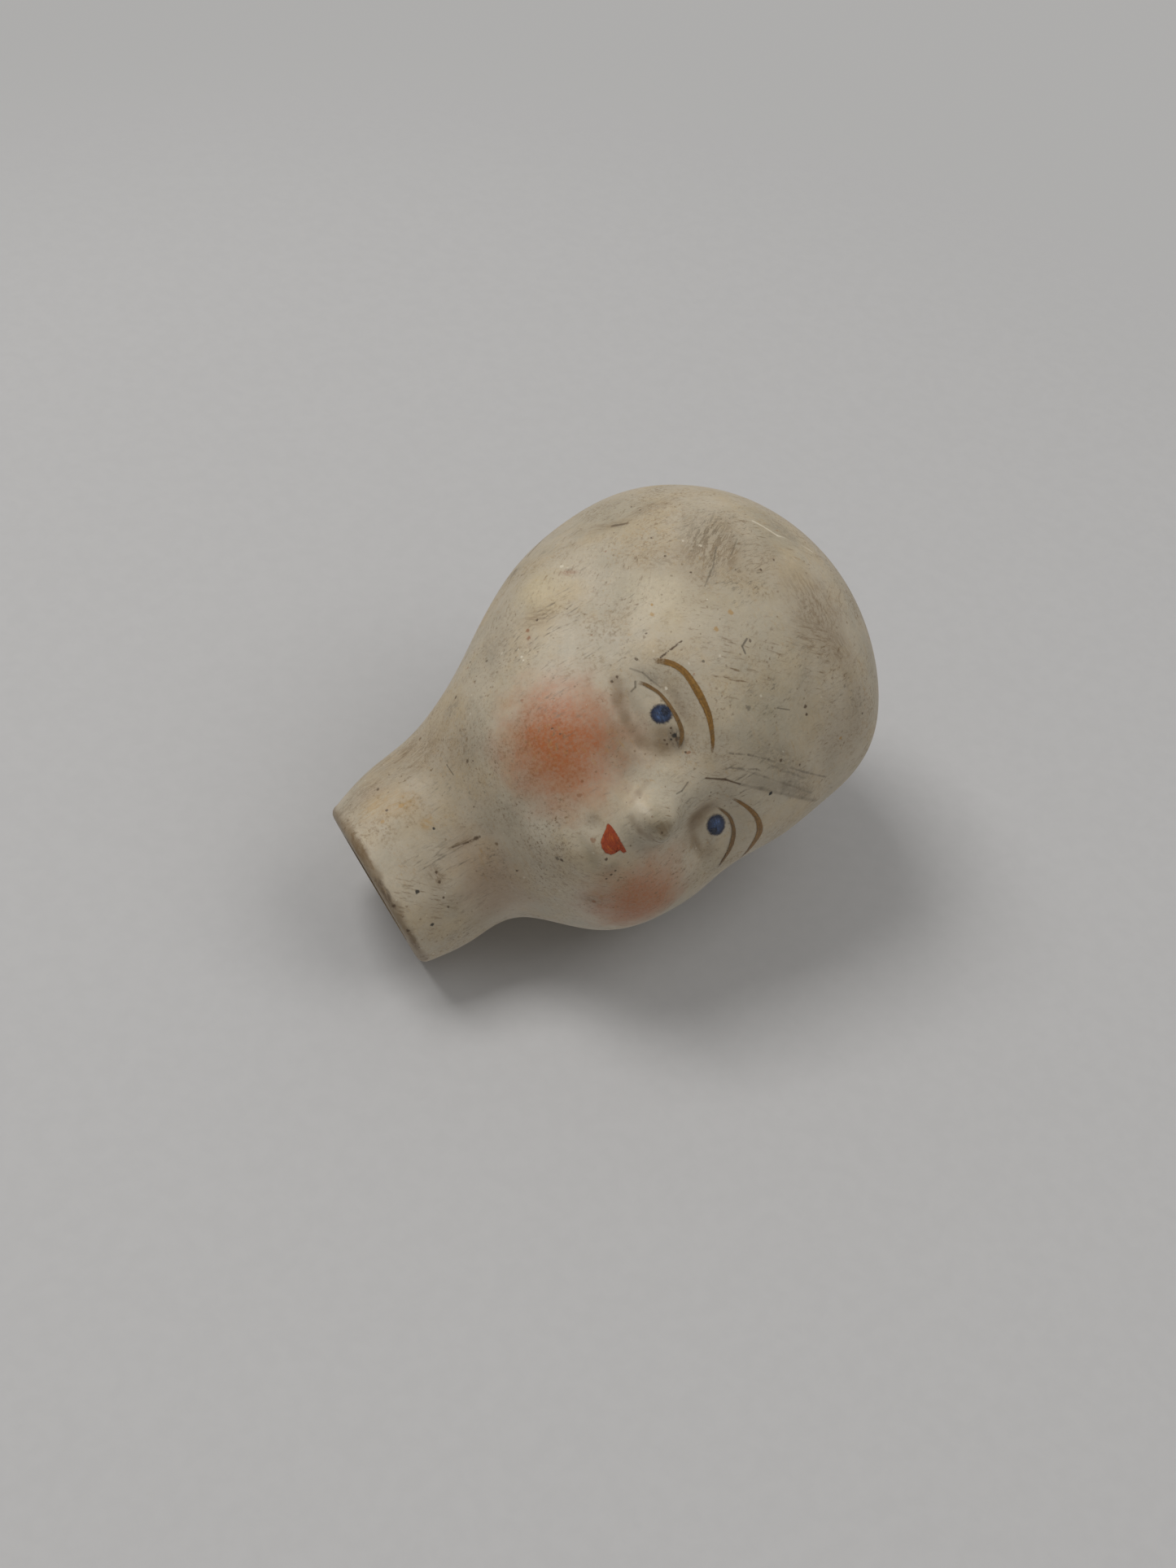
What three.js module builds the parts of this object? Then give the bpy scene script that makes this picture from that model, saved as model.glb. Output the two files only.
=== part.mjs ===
import * as THREE from 'three';

// A bald doll's head of unglazed porcelain, cast hollow in one piece with its neck, with its face
// painted in fired enamel. It stands upright on the flat cut end of the neck: +Z runs up through
// the crown, the face looks along -Y and the doll's left is +X. The origin is on the level of the
// neck's end, under the middle of the whole head. The pieces themselves are drawn from the middle
// of the neck's end. All lengths are in millimetres and all angles in degrees.

// Neck
const neckLength = 10;
const neckRadius = 7.5;
const rimBevel = 0.5;

// Skull and jaw, measured from the skull's middle where it is widest
const headHeight = 50;
const skullHalfWidth = 16.5;
const foreheadReach = 18.5;
const occiputReach = 19;
const skullSetback = 3.4;
const skullLean = -1;

// Casting
const wallThickness = 2.5;

// Levels up the neck, and the form of each as shares of the neck's sizes
const neckLevelShares = [0, 0.5, 1];
const neckWidthShares = [1.02, 1.17, 1.27];
const neckFrontShares = [1, 1.08, 1.2];
const neckBackShares = [0.98, 1.15, 1.31];
const neckLeanShares = [-0.05, 0.02, 0];
const neckSetbackShares = [-0.12, 0.14, 0.2];

// Levels up the jaw, face and skull, and the form of each as shares of the skull's sizes
const skullLevelShares = [0.1, 0.225, 0.375, 0.525, 0.7, 0.875, 1];
const skullWidthShares = [0.745, 0.9, 1.01, 1.02, 0.99, 0.765, 0];
const skullFrontShares = [0.625, 0.755, 0.835, 1, 0.905, 0.68, 0];
const skullBackShares = [0.58, 0.765, 0.92, 1, 0.93, 0.66, 0];
const skullLeanShares = [-0.16, -0.1, 0.33, 0.73, 0.71, 0.28, 0.1];
const skullSetbackShares = [-0.28, -0.04, 0.56, 1.04, 1.15, 0.76, 1];

// Nose
const noseSpread = 0.7;
const noseHeight = 22.35;
const noseHalfWidth = 2;
const noseHalfHeight = 1.8;
const noseRise = 2.05;
const bridgeSpread = 0.6;
const bridgeHeight = 24.2;
const bridgeHalfWidth = 2.7;
const bridgeHalfHeight = 3;
const bridgeRise = 1.6;
const nostrilSpread = 1.4;
const nostrilHeight = 21.65;
const nostrilRadius = 0.95;
const nostrilRise = 0.5;

// Eyes
const eyeSpread = 6.1;
const eyeHeight = 26.9;
const socketHalfWidth = 3.5;
const socketHalfHeight = 2.5;
const socketDepth = 1.1;
const eyeballSpread = 6.3;
const eyeballHeight = 26.7;
const eyeballHalfWidth = 2.8;
const eyeballHalfHeight = 1.7;
const eyeballRise = 0.8;

// Cheeks
const cheekSpread = 8.4;
const cheekHeight = 20;
const cheekRadius = 4.5;
const cheekRise = 1;

// Mouth and chin
const mouthSpread = 0.3;
const muzzleHeight = 18.5;
const muzzleHalfWidth = 4.2;
const muzzleHalfHeight = 3;
const muzzleRise = 1.2;
const lowerLipHeight = 17;
const lowerLipHalfWidth = 2;
const lowerLipHalfHeight = 0.7;
const lowerLipRise = 0.35;
const chinSpread = 0.1;
const chinHeight = 14.9;
const chinHalfWidth = 3.2;
const chinHalfHeight = 1.8;
const chinRise = 1;

// Ears, only hinted at as low swellings on the sides of the skull
const earAngle = 82;
const earHeight = 24;
const earHalfWidth = 2.2;
const earHalfHeight = 3.4;
const earRise = 0.5;

// Temples, hollow between the brow and the ears
const templeAngle = 62;
const templeHeight = 28.5;
const templeHalfWidth = 4.5;
const templeHalfHeight = 3.5;
const templeDepth = 0.8;

// How full each swelling is: 1 runs out softly all round, more is a rounder ball with a firmer edge
const softFullness = 1;
const firmFullness = 1.25;
const ballFullness = 1.5;

// Enamel: its thickness and the hair's breadth that keeps each layer clear of what is under it
const enamelThickness = 0.15;
const firedGap = 0.1;

// Painted eyes
const rightIrisSpread = 6.2;
const leftIrisSpread = 5.55;
const irisHeight = 27.1;
const rightIrisHalfWidth = 0.8;
const leftIrisHalfWidth = 1.1;
const irisHalfHeight = 0.85;
const rightPupilSpread = 6.3;
const rightPupilHeight = 27.4;
const leftPupilSpread = 5.8;
const leftPupilHeight = 26.8;
const pupilRadius = 0.38;

// Brush strokes: where each starts, how far it reaches out and up from there, and how broad it is
const browReach = 8.6;
const browHeight = 29.05;
const browArch = 1.45;
const browWidth = 0.6;
const rightBrowStart = 1.45;
const leftBrowStart = 3.4;
const rightLashStart = 2.9;
const rightLashHeight = 27.1;
const rightLashReach = 6;
const leftLashStart = 4;
const leftLashHeight = 27.75;
const leftLashReach = 7.4;
const lashArch = 0.85;
const lashWidth = 0.5;
const lipsLevel = 18.05;
const lipsReach = 1.55;
const lipsHeight = 1.6;
const lipsLift = 0.5;

// Each stroke's path as shares of its reach and arch, and its thickness as shares of its width
const browPathShares = [[0, 0], [0.24, 0.78], [0.5, 1], [0.78, 0.8], [1, -0.4]];
const browWidthShares = [0.3, 0.7, 1, 1, 0.9];
const rightLashPathShares = [[0, 0], [0.17, 0.85], [0.4, 1], [0.8, 0.6], [1, -0.5]];
const leftLashPathShares = [[0, 0], [0.18, 0.6], [0.4, 0.9], [0.75, -0.2], [1, -1.6]];
const lashWidthShares = [0.5, 1, 1, 0.8, 0.4];
const lipsPathShares = [[-1, 1.1], [-0.7, 0.7], [-0.35, 0.15], [0, 0], [0.35, 0.15], [0.62, 0.6], [1, 1.4]];
const lipsWidthShares = [0.1, 0.48, 0.88, 1, 0.95, 0.6, 0.15];

// How finely the clay and the enamel are divided
const neckRings = 9;
const faceRings = 30;
const crownRings = 12;
const faceTopShare = 0.58;
const insideRings = 16;
const headSegments = 84;
const faceDensityShare = 0.5;
const strokeSteps = 14;
const acrossSteps = 3;
const discSegments = 20;

const headLength = headHeight - neckLength;

// How high the first layer of enamel lies above the skin, and the second, painted over the first
const firstLayer = firedGap;
const secondLayer = firstLayer + enamelThickness + firedGap;

// A natural cubic spline through the values at the given levels, as a function of the level
function splineThrough(levels, values) {
  const last = levels.length - 1;
  const bends = new Array(levels.length).fill(0);
  const pivots = new Array(levels.length).fill(0);
  for (let i = 1; i < last; i += 1) {
    const below = levels[i] - levels[i - 1];
    const above = levels[i + 1] - levels[i];
    const pivot = 2 * (below + above) - below * pivots[i - 1];
    const turn = (values[i + 1] - values[i]) / above - (values[i] - values[i - 1]) / below;
    pivots[i] = above / pivot;
    bends[i] = (6 * turn - below * bends[i - 1]) / pivot;
  }
  for (let i = last - 1; i > 0; i -= 1) {
    bends[i] -= pivots[i] * bends[i + 1];
  }
  return (level) => {
    let i = 0;
    while (i < last - 1 && level > levels[i + 1]) {
      i += 1;
    }
    const step = levels[i + 1] - levels[i];
    const a = (levels[i + 1] - level) / step;
    const b = (level - levels[i]) / step;
    const curve = (a ** 3 - a) * bends[i] + (b ** 3 - b) * bends[i + 1];
    return a * values[i] + b * values[i + 1] + curve * step * step / 6;
  };
}

// One measure of the sections, as a spline up the whole head
function measureUp(neckShares, neckSize, skullShares, skullSize, power = 1) {
  const levels = neckLevelShares.map((share) => share * neckLength)
    .concat(skullLevelShares.map((share) => neckLength + share * headLength));
  const values = neckShares.map((share) => (share * neckSize) ** power)
    .concat(skullShares.map((share) => (share * skullSize) ** power));
  return splineThrough(levels, values);
}

// Reaches are splined as squares, which rounds the crown over instead of bringing it to a point
const halfWidthSquared = measureUp(neckWidthShares, neckRadius, skullWidthShares, skullHalfWidth, 2);
const frontSquared = measureUp(neckFrontShares, neckRadius, skullFrontShares, foreheadReach, 2);
const backSquared = measureUp(neckBackShares, neckRadius, skullBackShares, occiputReach, 2);
const leanAt = measureUp(neckLeanShares, skullLean, skullLeanShares, skullLean);
const setbackAt = measureUp(neckSetbackShares, skullSetback, skullSetbackShares, skullSetback);

// The plain egg form, before any feature is pressed into it
function eggPoint(level, angle) {
  const halfWidth = Math.sqrt(Math.max(halfWidthSquared(level), 0));
  const facing = Math.cos(angle);
  const reachSquared = facing > 0 ? frontSquared(level) : backSquared(level);
  const reach = Math.sqrt(Math.max(reachSquared, 0));
  const x = leanAt(level) + halfWidth * Math.sin(angle);
  const y = setbackAt(level) - reach * facing;
  return new THREE.Vector3(x, y, level);
}

// The outward direction of a surface at a place on it, from two short steps, and up at the crown
function outwardOf(surface, level, angle) {
  const step = headHeight * 1e-4;
  const turn = 1e-3;
  if (level > headHeight - step) {
    return new THREE.Vector3(0, 0, 1);
  }
  const rising = surface(level + step, angle).sub(surface(level - step, angle));
  const turning = surface(level, angle + turn).sub(surface(level, angle - turn));
  return turning.cross(rising).normalize();
}

// The angle round the head of a place on the face, given how far it lies to the doll's left
function angleOf(spread, level) {
  const halfWidth = Math.sqrt(halfWidthSquared(level));
  return Math.asin((spread - leanAt(level)) / halfWidth);
}

// A round of clay that swells or presses in the skin at one place, straight out from the axis
function clayDab(angle, level, halfWidth, halfHeight, rise, fullness) {
  const centre = eggPoint(level, angle);
  const outward = outwardOf(eggPoint, level, angle).setZ(0).normalize();
  const upward = new THREE.Vector3(0, 0, 1);
  const across = upward.clone().cross(outward);
  return { centre, outward, across, upward, halfWidth, halfHeight, rise, fullness };
}

function dabOnFace(spread, level, halfWidth, halfHeight, rise, fullness = softFullness) {
  return clayDab(angleOf(spread, level), level, halfWidth, halfHeight, rise, fullness);
}

function pairOfDabs(middle, spread, ...form) {
  return [middle - spread, middle + spread].map((side) => dabOnFace(side, ...form));
}

function nose() {
  return [
    dabOnFace(noseSpread, noseHeight, noseHalfWidth, noseHalfHeight, noseRise, ballFullness),
    dabOnFace(bridgeSpread, bridgeHeight, bridgeHalfWidth, bridgeHalfHeight, bridgeRise),
    ...pairOfDabs(
      noseSpread, nostrilSpread, nostrilHeight, nostrilRadius, nostrilRadius, nostrilRise, firmFullness,
    ),
  ];
}

function eyes() {
  return [
    ...pairOfDabs(
      0, eyeSpread, eyeHeight, socketHalfWidth, socketHalfHeight, -socketDepth, ballFullness,
    ),
    ...pairOfDabs(
      0, eyeballSpread, eyeballHeight, eyeballHalfWidth, eyeballHalfHeight, eyeballRise, firmFullness,
    ),
  ];
}

function cheeks() {
  return pairOfDabs(0, cheekSpread, cheekHeight, cheekRadius, cheekRadius, cheekRise);
}

function mouthAndChin() {
  return [
    dabOnFace(mouthSpread, muzzleHeight, muzzleHalfWidth, muzzleHalfHeight, muzzleRise),
    dabOnFace(mouthSpread, lowerLipHeight, lowerLipHalfWidth, lowerLipHalfHeight, lowerLipRise),
    dabOnFace(chinSpread, chinHeight, chinHalfWidth, chinHalfHeight, chinRise),
  ];
}

function pairOnSides(degrees, ...form) {
  return [-degrees, degrees].map((side) => clayDab(THREE.MathUtils.degToRad(side), ...form));
}

function ears() {
  return pairOnSides(earAngle, earHeight, earHalfWidth, earHalfHeight, earRise, softFullness);
}

function temples() {
  return pairOnSides(
    templeAngle, templeHeight, templeHalfWidth, templeHalfHeight, -templeDepth, softFullness,
  );
}

const features = [...nose(), ...eyes(), ...cheeks(), ...mouthAndChin(), ...ears(), ...temples()];

// A point of the egg form, moved by all the features together
function moulded(point) {
  const moved = point.clone();
  for (const dab of features) {
    const away = point.clone().sub(dab.centre);
    const across = away.dot(dab.across) / dab.halfWidth;
    const upward = away.dot(dab.upward) / dab.halfHeight;
    const outward = away.dot(dab.outward) / (dab.halfWidth + dab.halfHeight);
    const distance = across ** 2 + upward ** 2 + outward ** 2;
    moved.addScaledVector(dab.outward, dab.rise * Math.exp(-(distance ** dab.fullness)));
  }
  return moved;
}

// The skin of the casting
function skinPoint(level, angle) {
  return moulded(eggPoint(level, angle));
}

// A place on a layer that lies a given height above the skin
function layerPoint(level, angle, above) {
  return skinPoint(level, angle).addScaledVector(outwardOf(skinPoint, level, angle), above);
}

// The wall's inner side, which follows the egg form and is cut off level at the neck's end
function insidePoint(level, angle) {
  const inward = outwardOf(eggPoint, level, angle).multiplyScalar(-wallThickness);
  inward.z *= THREE.MathUtils.smoothstep(level, 0, neckLength);
  return eggPoint(level, angle).add(inward);
}

// The cut end's outer edge, drawn in by the bevel
function rimPoint(angle) {
  const inward = outwardOf(eggPoint, 0, angle).multiplyScalar(-rimBevel);
  inward.z = 0;
  return eggPoint(0, angle).add(inward);
}

// The levels of the rings inside, from the crown down to the neck's end
function insideLevels() {
  const levels = [];
  for (let i = 0; i <= insideRings; i += 1) {
    levels.push(headHeight * Math.cos((i / insideRings) * Math.PI / 2));
  }
  levels[insideRings] = 0;
  return levels;
}

// The levels of the rings outside, from the top of the bevel up to the crown
function outsideLevels() {
  const faceBottom = neckLength;
  const faceTop = neckLength + faceTopShare * headLength;
  const levels = [];
  for (let i = 0; i < neckRings; i += 1) {
    levels.push(THREE.MathUtils.lerp(rimBevel, faceBottom, i / neckRings));
  }
  for (let i = 0; i < faceRings; i += 1) {
    levels.push(THREE.MathUtils.lerp(faceBottom, faceTop, i / faceRings));
  }
  for (let i = 0; i < crownRings; i += 1) {
    levels.push(faceTop + (headHeight - faceTop) * Math.sin((i / crownRings) * Math.PI / 2));
  }
  levels.push(headHeight);
  return levels;
}

// The casting: a turned form whose rings are then moved onto the inside, the rim and the skin
function castHead() {
  const rings = [
    ...insideLevels().map((level) => (angle) => insidePoint(level, angle)),
    rimPoint,
    ...outsideLevels().map((level) => (angle) => skinPoint(level, angle)),
  ];
  const outline = rings.map((ring, i) => new THREE.Vector2(i % (rings.length - 1) ? 1 : 0, i));
  const geometry = new THREE.LatheGeometry(outline, headSegments);
  const position = geometry.getAttribute('position');
  for (let turn = 0; turn <= headSegments; turn += 1) {
    const even = (turn % headSegments / headSegments) * 2 * Math.PI;
    const angle = even - faceDensityShare * Math.sin(even);
    rings.forEach((ring, i) => {
      const point = ring(angle);
      position.setXYZ(turn * rings.length + i, point.x, point.y, point.z);
    });
  }
  return geometry;
}

// A brush stroke: a unit block bent along its path over the skin, as thick as the enamel.
// The path's points hold the spread, the level and the stroke's width there.
function brushStroke(path, layer) {
  const curve = new THREE.CatmullRomCurve3(path);
  const geometry = new THREE.BoxGeometry(1, 1, 1, strokeSteps, acrossSteps, 1);
  const position = geometry.getAttribute('position');
  for (let i = 0; i < position.count; i += 1) {
    const along = position.getX(i) + 1 / 2;
    const place = curve.getPoint(along);
    const heading = curve.getTangent(along).setZ(0).normalize();
    const offset = position.getY(i) * place.z;
    const spread = place.x - heading.y * offset;
    const level = place.y + heading.x * offset;
    const above = layer + (position.getZ(i) + 1 / 2) * enamelThickness;
    const point = layerPoint(level, angleOf(spread, level), above);
    position.setXYZ(i, point.x, point.y, point.z);
  }
  return geometry;
}

// The path of a stroke that starts near the middle of the face and arches outwards on one side
function archedPath(side, start, level, reach, arch, width, pathShares, widthShares) {
  const path = pathShares.map(([out, up], i) => new THREE.Vector3(
    side * (start + out * reach),
    level + up * arch,
    widthShares[i] * width,
  ));
  return side > 0 ? path : path.reverse();
}

function brow(side, start) {
  const path = archedPath(
    side, start, browHeight, browReach, browArch, browWidth, browPathShares, browWidthShares,
  );
  return brushStroke(path, firstLayer);
}

function lashLine(side, start, level, reach, pathShares) {
  const path = archedPath(side, start, level, reach, lashArch, lashWidth, pathShares, lashWidthShares);
  return brushStroke(path, secondLayer);
}

function lips() {
  const path = lipsPathShares.map(([out, up], i) => new THREE.Vector3(
    mouthSpread + out * lipsReach,
    lipsLevel + up * lipsLift,
    lipsWidthShares[i] * lipsHeight,
  ));
  return brushStroke(path, firstLayer);
}

// A round spot of enamel on the eyeball
function eyeSpot(middle, height, halfWidth, halfHeight, layer) {
  const geometry = new THREE.CylinderGeometry(1, 1, 1, discSegments);
  const position = geometry.getAttribute('position');
  for (let i = 0; i < position.count; i += 1) {
    const level = height - position.getZ(i) * halfHeight;
    const spread = middle + position.getX(i) * halfWidth;
    const above = layer + (position.getY(i) + 1 / 2) * enamelThickness;
    const point = layerPoint(level, angleOf(spread, level), above);
    position.setXYZ(i, point.x, point.y, point.z);
  }
  return geometry;
}

function iris(middle, halfWidth) {
  return eyeSpot(middle, irisHeight, halfWidth, irisHalfHeight, firstLayer);
}

function pupil(middle, height) {
  return eyeSpot(middle, height, pupilRadius, pupilRadius, secondLayer);
}

// Materials
const bisque = new THREE.MeshStandardMaterial({ color: 0xd9d2bf, roughness: 0.85, metalness: 0 });
const ochreEnamel = new THREE.MeshStandardMaterial({ color: 0x8a5f22, roughness: 0.5, metalness: 0 });
const blueEnamel = new THREE.MeshStandardMaterial({ color: 0x3f5f9e, roughness: 0.4, metalness: 0 });
const darkEnamel = new THREE.MeshStandardMaterial({ color: 0x1d2638, roughness: 0.4, metalness: 0 });
const redEnamel = new THREE.MeshStandardMaterial({ color: 0xc0431d, roughness: 0.4, metalness: 0 });

const dollHead = new THREE.Group();

function addPiece(name, geometry, material) {
  const mesh = new THREE.Mesh(geometry, material);
  mesh.name = name;
  dollHead.add(mesh);
}

addPiece('bisque_head', castHead(), bisque);
addPiece('right_brow', brow(-1, rightBrowStart), ochreEnamel);
addPiece('left_brow', brow(1, leftBrowStart), ochreEnamel);
addPiece(
  'right_lash_line',
  lashLine(-1, rightLashStart, rightLashHeight, rightLashReach, rightLashPathShares),
  ochreEnamel,
);
addPiece(
  'left_lash_line',
  lashLine(1, leftLashStart, leftLashHeight, leftLashReach, leftLashPathShares),
  ochreEnamel,
);
addPiece('right_iris', iris(-rightIrisSpread, rightIrisHalfWidth), blueEnamel);
addPiece('left_iris', iris(leftIrisSpread, leftIrisHalfWidth), blueEnamel);
addPiece('right_pupil', pupil(-rightPupilSpread, rightPupilHeight), darkEnamel);
addPiece('left_pupil', pupil(leftPupilSpread, leftPupilHeight), darkEnamel);
addPiece('lips', lips(), redEnamel);

// The head is set over the origin by the middle of its whole width and depth
const middle = new THREE.Box3().setFromObject(dollHead).getCenter(new THREE.Vector3());
dollHead.position.set(-middle.x, -middle.y, 0);

export default dollHead;
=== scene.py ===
"""A bald doll's head of unglazed porcelain with a painted face, dressed and set in its studio.

The head stands upright in its own frame: +Z runs up through the crown, the face looks along -Y and
the doll's left is +X. It lies on a tilted table, as such a head does, on the left back of its skull
and on the edge of its neck. Lengths are in metres. Only the tables of features, marks and strokes
give them in millimetres, with angles round the head in degrees, 0 in front, and levels above the
neck's end.
"""
import logging
import math
from dataclasses import dataclass
from enum import Enum
from typing import Callable

import bmesh
import bpy
import numpy as np
from mathutils import Matrix, Vector


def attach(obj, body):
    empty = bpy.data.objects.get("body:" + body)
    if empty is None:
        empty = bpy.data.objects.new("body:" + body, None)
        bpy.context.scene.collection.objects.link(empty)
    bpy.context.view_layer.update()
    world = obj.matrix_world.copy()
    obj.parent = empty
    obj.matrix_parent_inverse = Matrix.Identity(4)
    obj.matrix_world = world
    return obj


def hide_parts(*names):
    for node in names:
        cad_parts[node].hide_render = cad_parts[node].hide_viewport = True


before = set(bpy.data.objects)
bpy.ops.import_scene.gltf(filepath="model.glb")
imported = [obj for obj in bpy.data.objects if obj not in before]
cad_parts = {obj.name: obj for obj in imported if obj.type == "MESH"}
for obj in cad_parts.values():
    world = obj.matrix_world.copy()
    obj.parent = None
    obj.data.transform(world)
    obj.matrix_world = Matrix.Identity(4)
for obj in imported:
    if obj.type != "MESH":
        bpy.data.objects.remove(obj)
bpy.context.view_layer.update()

LOG = logging.getLogger("doll_head")
MM = 0.001
Socket = bpy.types.NodeSocket
Curve = Callable[[np.ndarray], np.ndarray]
Surface = Callable[[np.ndarray, np.ndarray], np.ndarray]
Outline = Callable[[np.ndarray, np.ndarray], tuple]


class Side(Enum):
    """The doll's own sides, by the sign of X."""

    RIGHT = -1
    LEFT = 1


class Fullness(Enum):
    """How a swelling runs out: softly all round, or as a rounder ball with a firmer edge."""

    SOFT = 1.0
    FIRM = 1.25
    BALL = 1.5


@dataclass(frozen=True)
class Dab:
    """A round of clay that swells or presses in the skin, by its angle and level."""

    angle: float
    level: float
    half_width: float
    half_height: float
    rise: float
    fullness: Fullness


def spline_through(levels: np.ndarray, values: np.ndarray) -> Curve:
    """Makes a natural cubic spline.

    Args:
        levels: The places of the known values, rising.
        values: The known values.

    Returns:
        A function from levels to values.
    """
    count = len(levels)
    matrix, target = np.eye(count), np.zeros(count)
    for i in range(1, count - 1):
        below, above = levels[i] - levels[i - 1], levels[i + 1] - levels[i]
        matrix[i, i - 1:i + 2] = below, 2 * (below + above), above
        target[i] = 6 * ((values[i + 1] - values[i]) / above - (values[i] - values[i - 1]) / below)
    bends = np.linalg.solve(matrix, target)

    def value(level: np.ndarray) -> np.ndarray:
        """The spline's value.

        Args:
            level: Where it is wanted.

        Returns:
            The values.
        """
        level = np.asarray(level, float)
        i = np.clip(np.searchsorted(levels, level, side="right") - 1, 0, count - 2)
        step = levels[i + 1] - levels[i]
        a, b = (levels[i + 1] - level) / step, (level - levels[i]) / step
        curve = (a ** 3 - a) * bends[i] + (b ** 3 - b) * bends[i + 1]
        return a * values[i] + b * values[i + 1] + curve * step * step / 6

    return value


@dataclass
class HeadForm:
    """The head's skin as one smooth form, the same as the casting in the CAD model.

    A section has its level and then its width, front and back reach, lean and setback, all as shares
    of the neck's or the skull's own sizes.
    """

    neck_length: float = 0.010
    neck_radius: float = 0.0075
    head_height: float = 0.050
    skull_half_width: float = 0.0165
    forehead_reach: float = 0.0185
    occiput_reach: float = 0.019
    skull_lean: float = -0.001
    skull_setback: float = 0.0034
    neck_sections: tuple = (
        (0, 1.02, 1, 0.98, -0.05, -0.12), (0.5, 1.17, 1.08, 1.15, 0.02, 0.14),
        (1, 1.27, 1.2, 1.31, 0, 0.2))
    skull_sections: tuple = (
        (0.1, 0.745, 0.625, 0.58, -0.16, -0.28), (0.225, 0.9, 0.755, 0.765, -0.1, -0.04),
        (0.375, 1.01, 0.835, 0.92, 0.33, 0.56), (0.525, 1.02, 1, 1, 0.73, 1.04),
        (0.7, 0.99, 0.905, 0.93, 0.71, 1.15), (0.875, 0.765, 0.68, 0.66, 0.28, 0.76),
        (1, 0, 0, 0, 0.1, 1))
    samples: int = 240
    step_share: float = 1e-4
    turn_step: float = 1e-3

    def __post_init__(self) -> None:
        """Prepares the splines and finds where the head stands in the shared frame."""
        neck, skull = np.array(self.neck_sections).T, np.array(self.skull_sections).T
        levels = np.concatenate([
            neck[0] * self.neck_length,
            self.neck_length + skull[0] * (self.head_height - self.neck_length)])
        # reaches are squared, which rounds the crown over
        sizes = (
            (self.neck_radius, self.skull_half_width, 2), (self.neck_radius, self.forehead_reach, 2),
            (self.neck_radius, self.occiput_reach, 2), (self.skull_lean, self.skull_lean, 1),
            (self.skull_setback, self.skull_setback, 1))
        self.width_squared, self.front_squared, self.back_squared, self.lean, self.setback = (
            spline_through(levels, np.concatenate([
                (neck[row] * neck_size) ** power, (skull[row] * skull_size) ** power]))
            for row, (neck_size, skull_size, power) in enumerate(sizes, 1))
        self.set_dabs = [self.set_dab(dab) for dab in self.dabs()]
        skin = self.scan(self.drawn_skin, 0, self.head_height, self.samples, self.samples)
        middle = (skin.max(axis=0) + skin.min(axis=0)) / 2
        self.shift = np.array((-middle[0], -middle[1], 0.0))

    def scan(self, surface: Surface, bottom: float, top: float, rings: int, columns: int) -> np.ndarray:
        """Points all over a surface, at so many levels and angles, one a row."""
        grid = np.meshgrid(np.linspace(bottom, top, rings), np.linspace(-math.pi, math.pi, columns))
        return surface(*grid).reshape(-1, 3)

    def egg(self, level: np.ndarray, angle: np.ndarray) -> np.ndarray:
        """The plain egg form, before any feature is pressed into it.

        Args:
            level: Heights above the neck's end.
            angle: Angles round the head in radians.

        Returns:
            The points.
        """
        half_width = np.sqrt(np.maximum(self.width_squared(level), 0))
        facing = np.cos(angle)
        squared = np.where(facing > 0, self.front_squared(level), self.back_squared(level))
        x = self.lean(level) + half_width * np.sin(angle)
        y = self.setback(level) - np.sqrt(np.maximum(squared, 0)) * facing
        return np.stack([x, y, level + 0 * x], axis=-1)

    def angle_of(self, spread: np.ndarray, level: np.ndarray) -> np.ndarray:
        """The angle round the head, in radians, of a place so far to the doll's left and so high."""
        share = (spread - self.lean(level)) / np.sqrt(self.width_squared(level))
        return np.arcsin(np.clip(share, -1, 1))

    def outward(self, surface: Surface, level: np.ndarray, angle: np.ndarray) -> np.ndarray:
        """The outward direction of a surface, from two short steps on it.

        Args:
            surface: A function from levels and angles to points.
            level: Heights above the neck's end.
            angle: Angles round the head in radians.

        Returns:
            Unit vectors.
        """
        step, turn = self.head_height * self.step_share, self.turn_step
        level = np.minimum(level, self.head_height - 2 * step)
        rising = surface(level + step, angle) - surface(level - step, angle)
        turning = surface(level, angle + turn) - surface(level, angle - turn)
        normal = np.cross(turning, rising)
        return normal / np.linalg.norm(normal, axis=-1, keepdims=True)

    def dabs(self) -> list[Dab]:
        """The features, each with its place, half width, half height and rise.

        Returns:
            Nose, bridge, mouth, lower lip and chin, and on each side nostril, socket, eyeball, cheek,
            ear and temple.
        """
        soft, firm, ball = Fullness
        by_spread = [
            (0.7, 22.35, 2, 1.8, 2.05, ball), (0.6, 24.2, 2.7, 3, 1.6, soft),
            (0.3, 18.5, 4.2, 3, 1.2, soft), (0.3, 17, 2, 0.7, 0.35, soft), (0.1, 14.9, 3.2, 1.8, 1, soft)]
        by_angle = []
        for side in Side:
            sign = side.value
            by_spread += [
                (0.7 + sign * 1.4, 21.65, 0.95, 0.95, 0.5, firm), (sign * 6.1, 26.9, 3.5, 2.5, -1.1, ball),
                (sign * 6.3, 26.7, 2.8, 1.7, 0.8, firm), (sign * 8.4, 20, 4.5, 4.5, 1, soft)]
            by_angle += [
                Dab(sign * 82, 24, 2.2, 3.4, 0.5, soft), Dab(sign * 62, 28.5, 4.5, 3.5, -0.8, soft)]
        return [Dab(math.degrees(float(self.angle_of(spread * MM, level * MM))), level, *rest)
                for spread, level, *rest in by_spread] + by_angle

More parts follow.
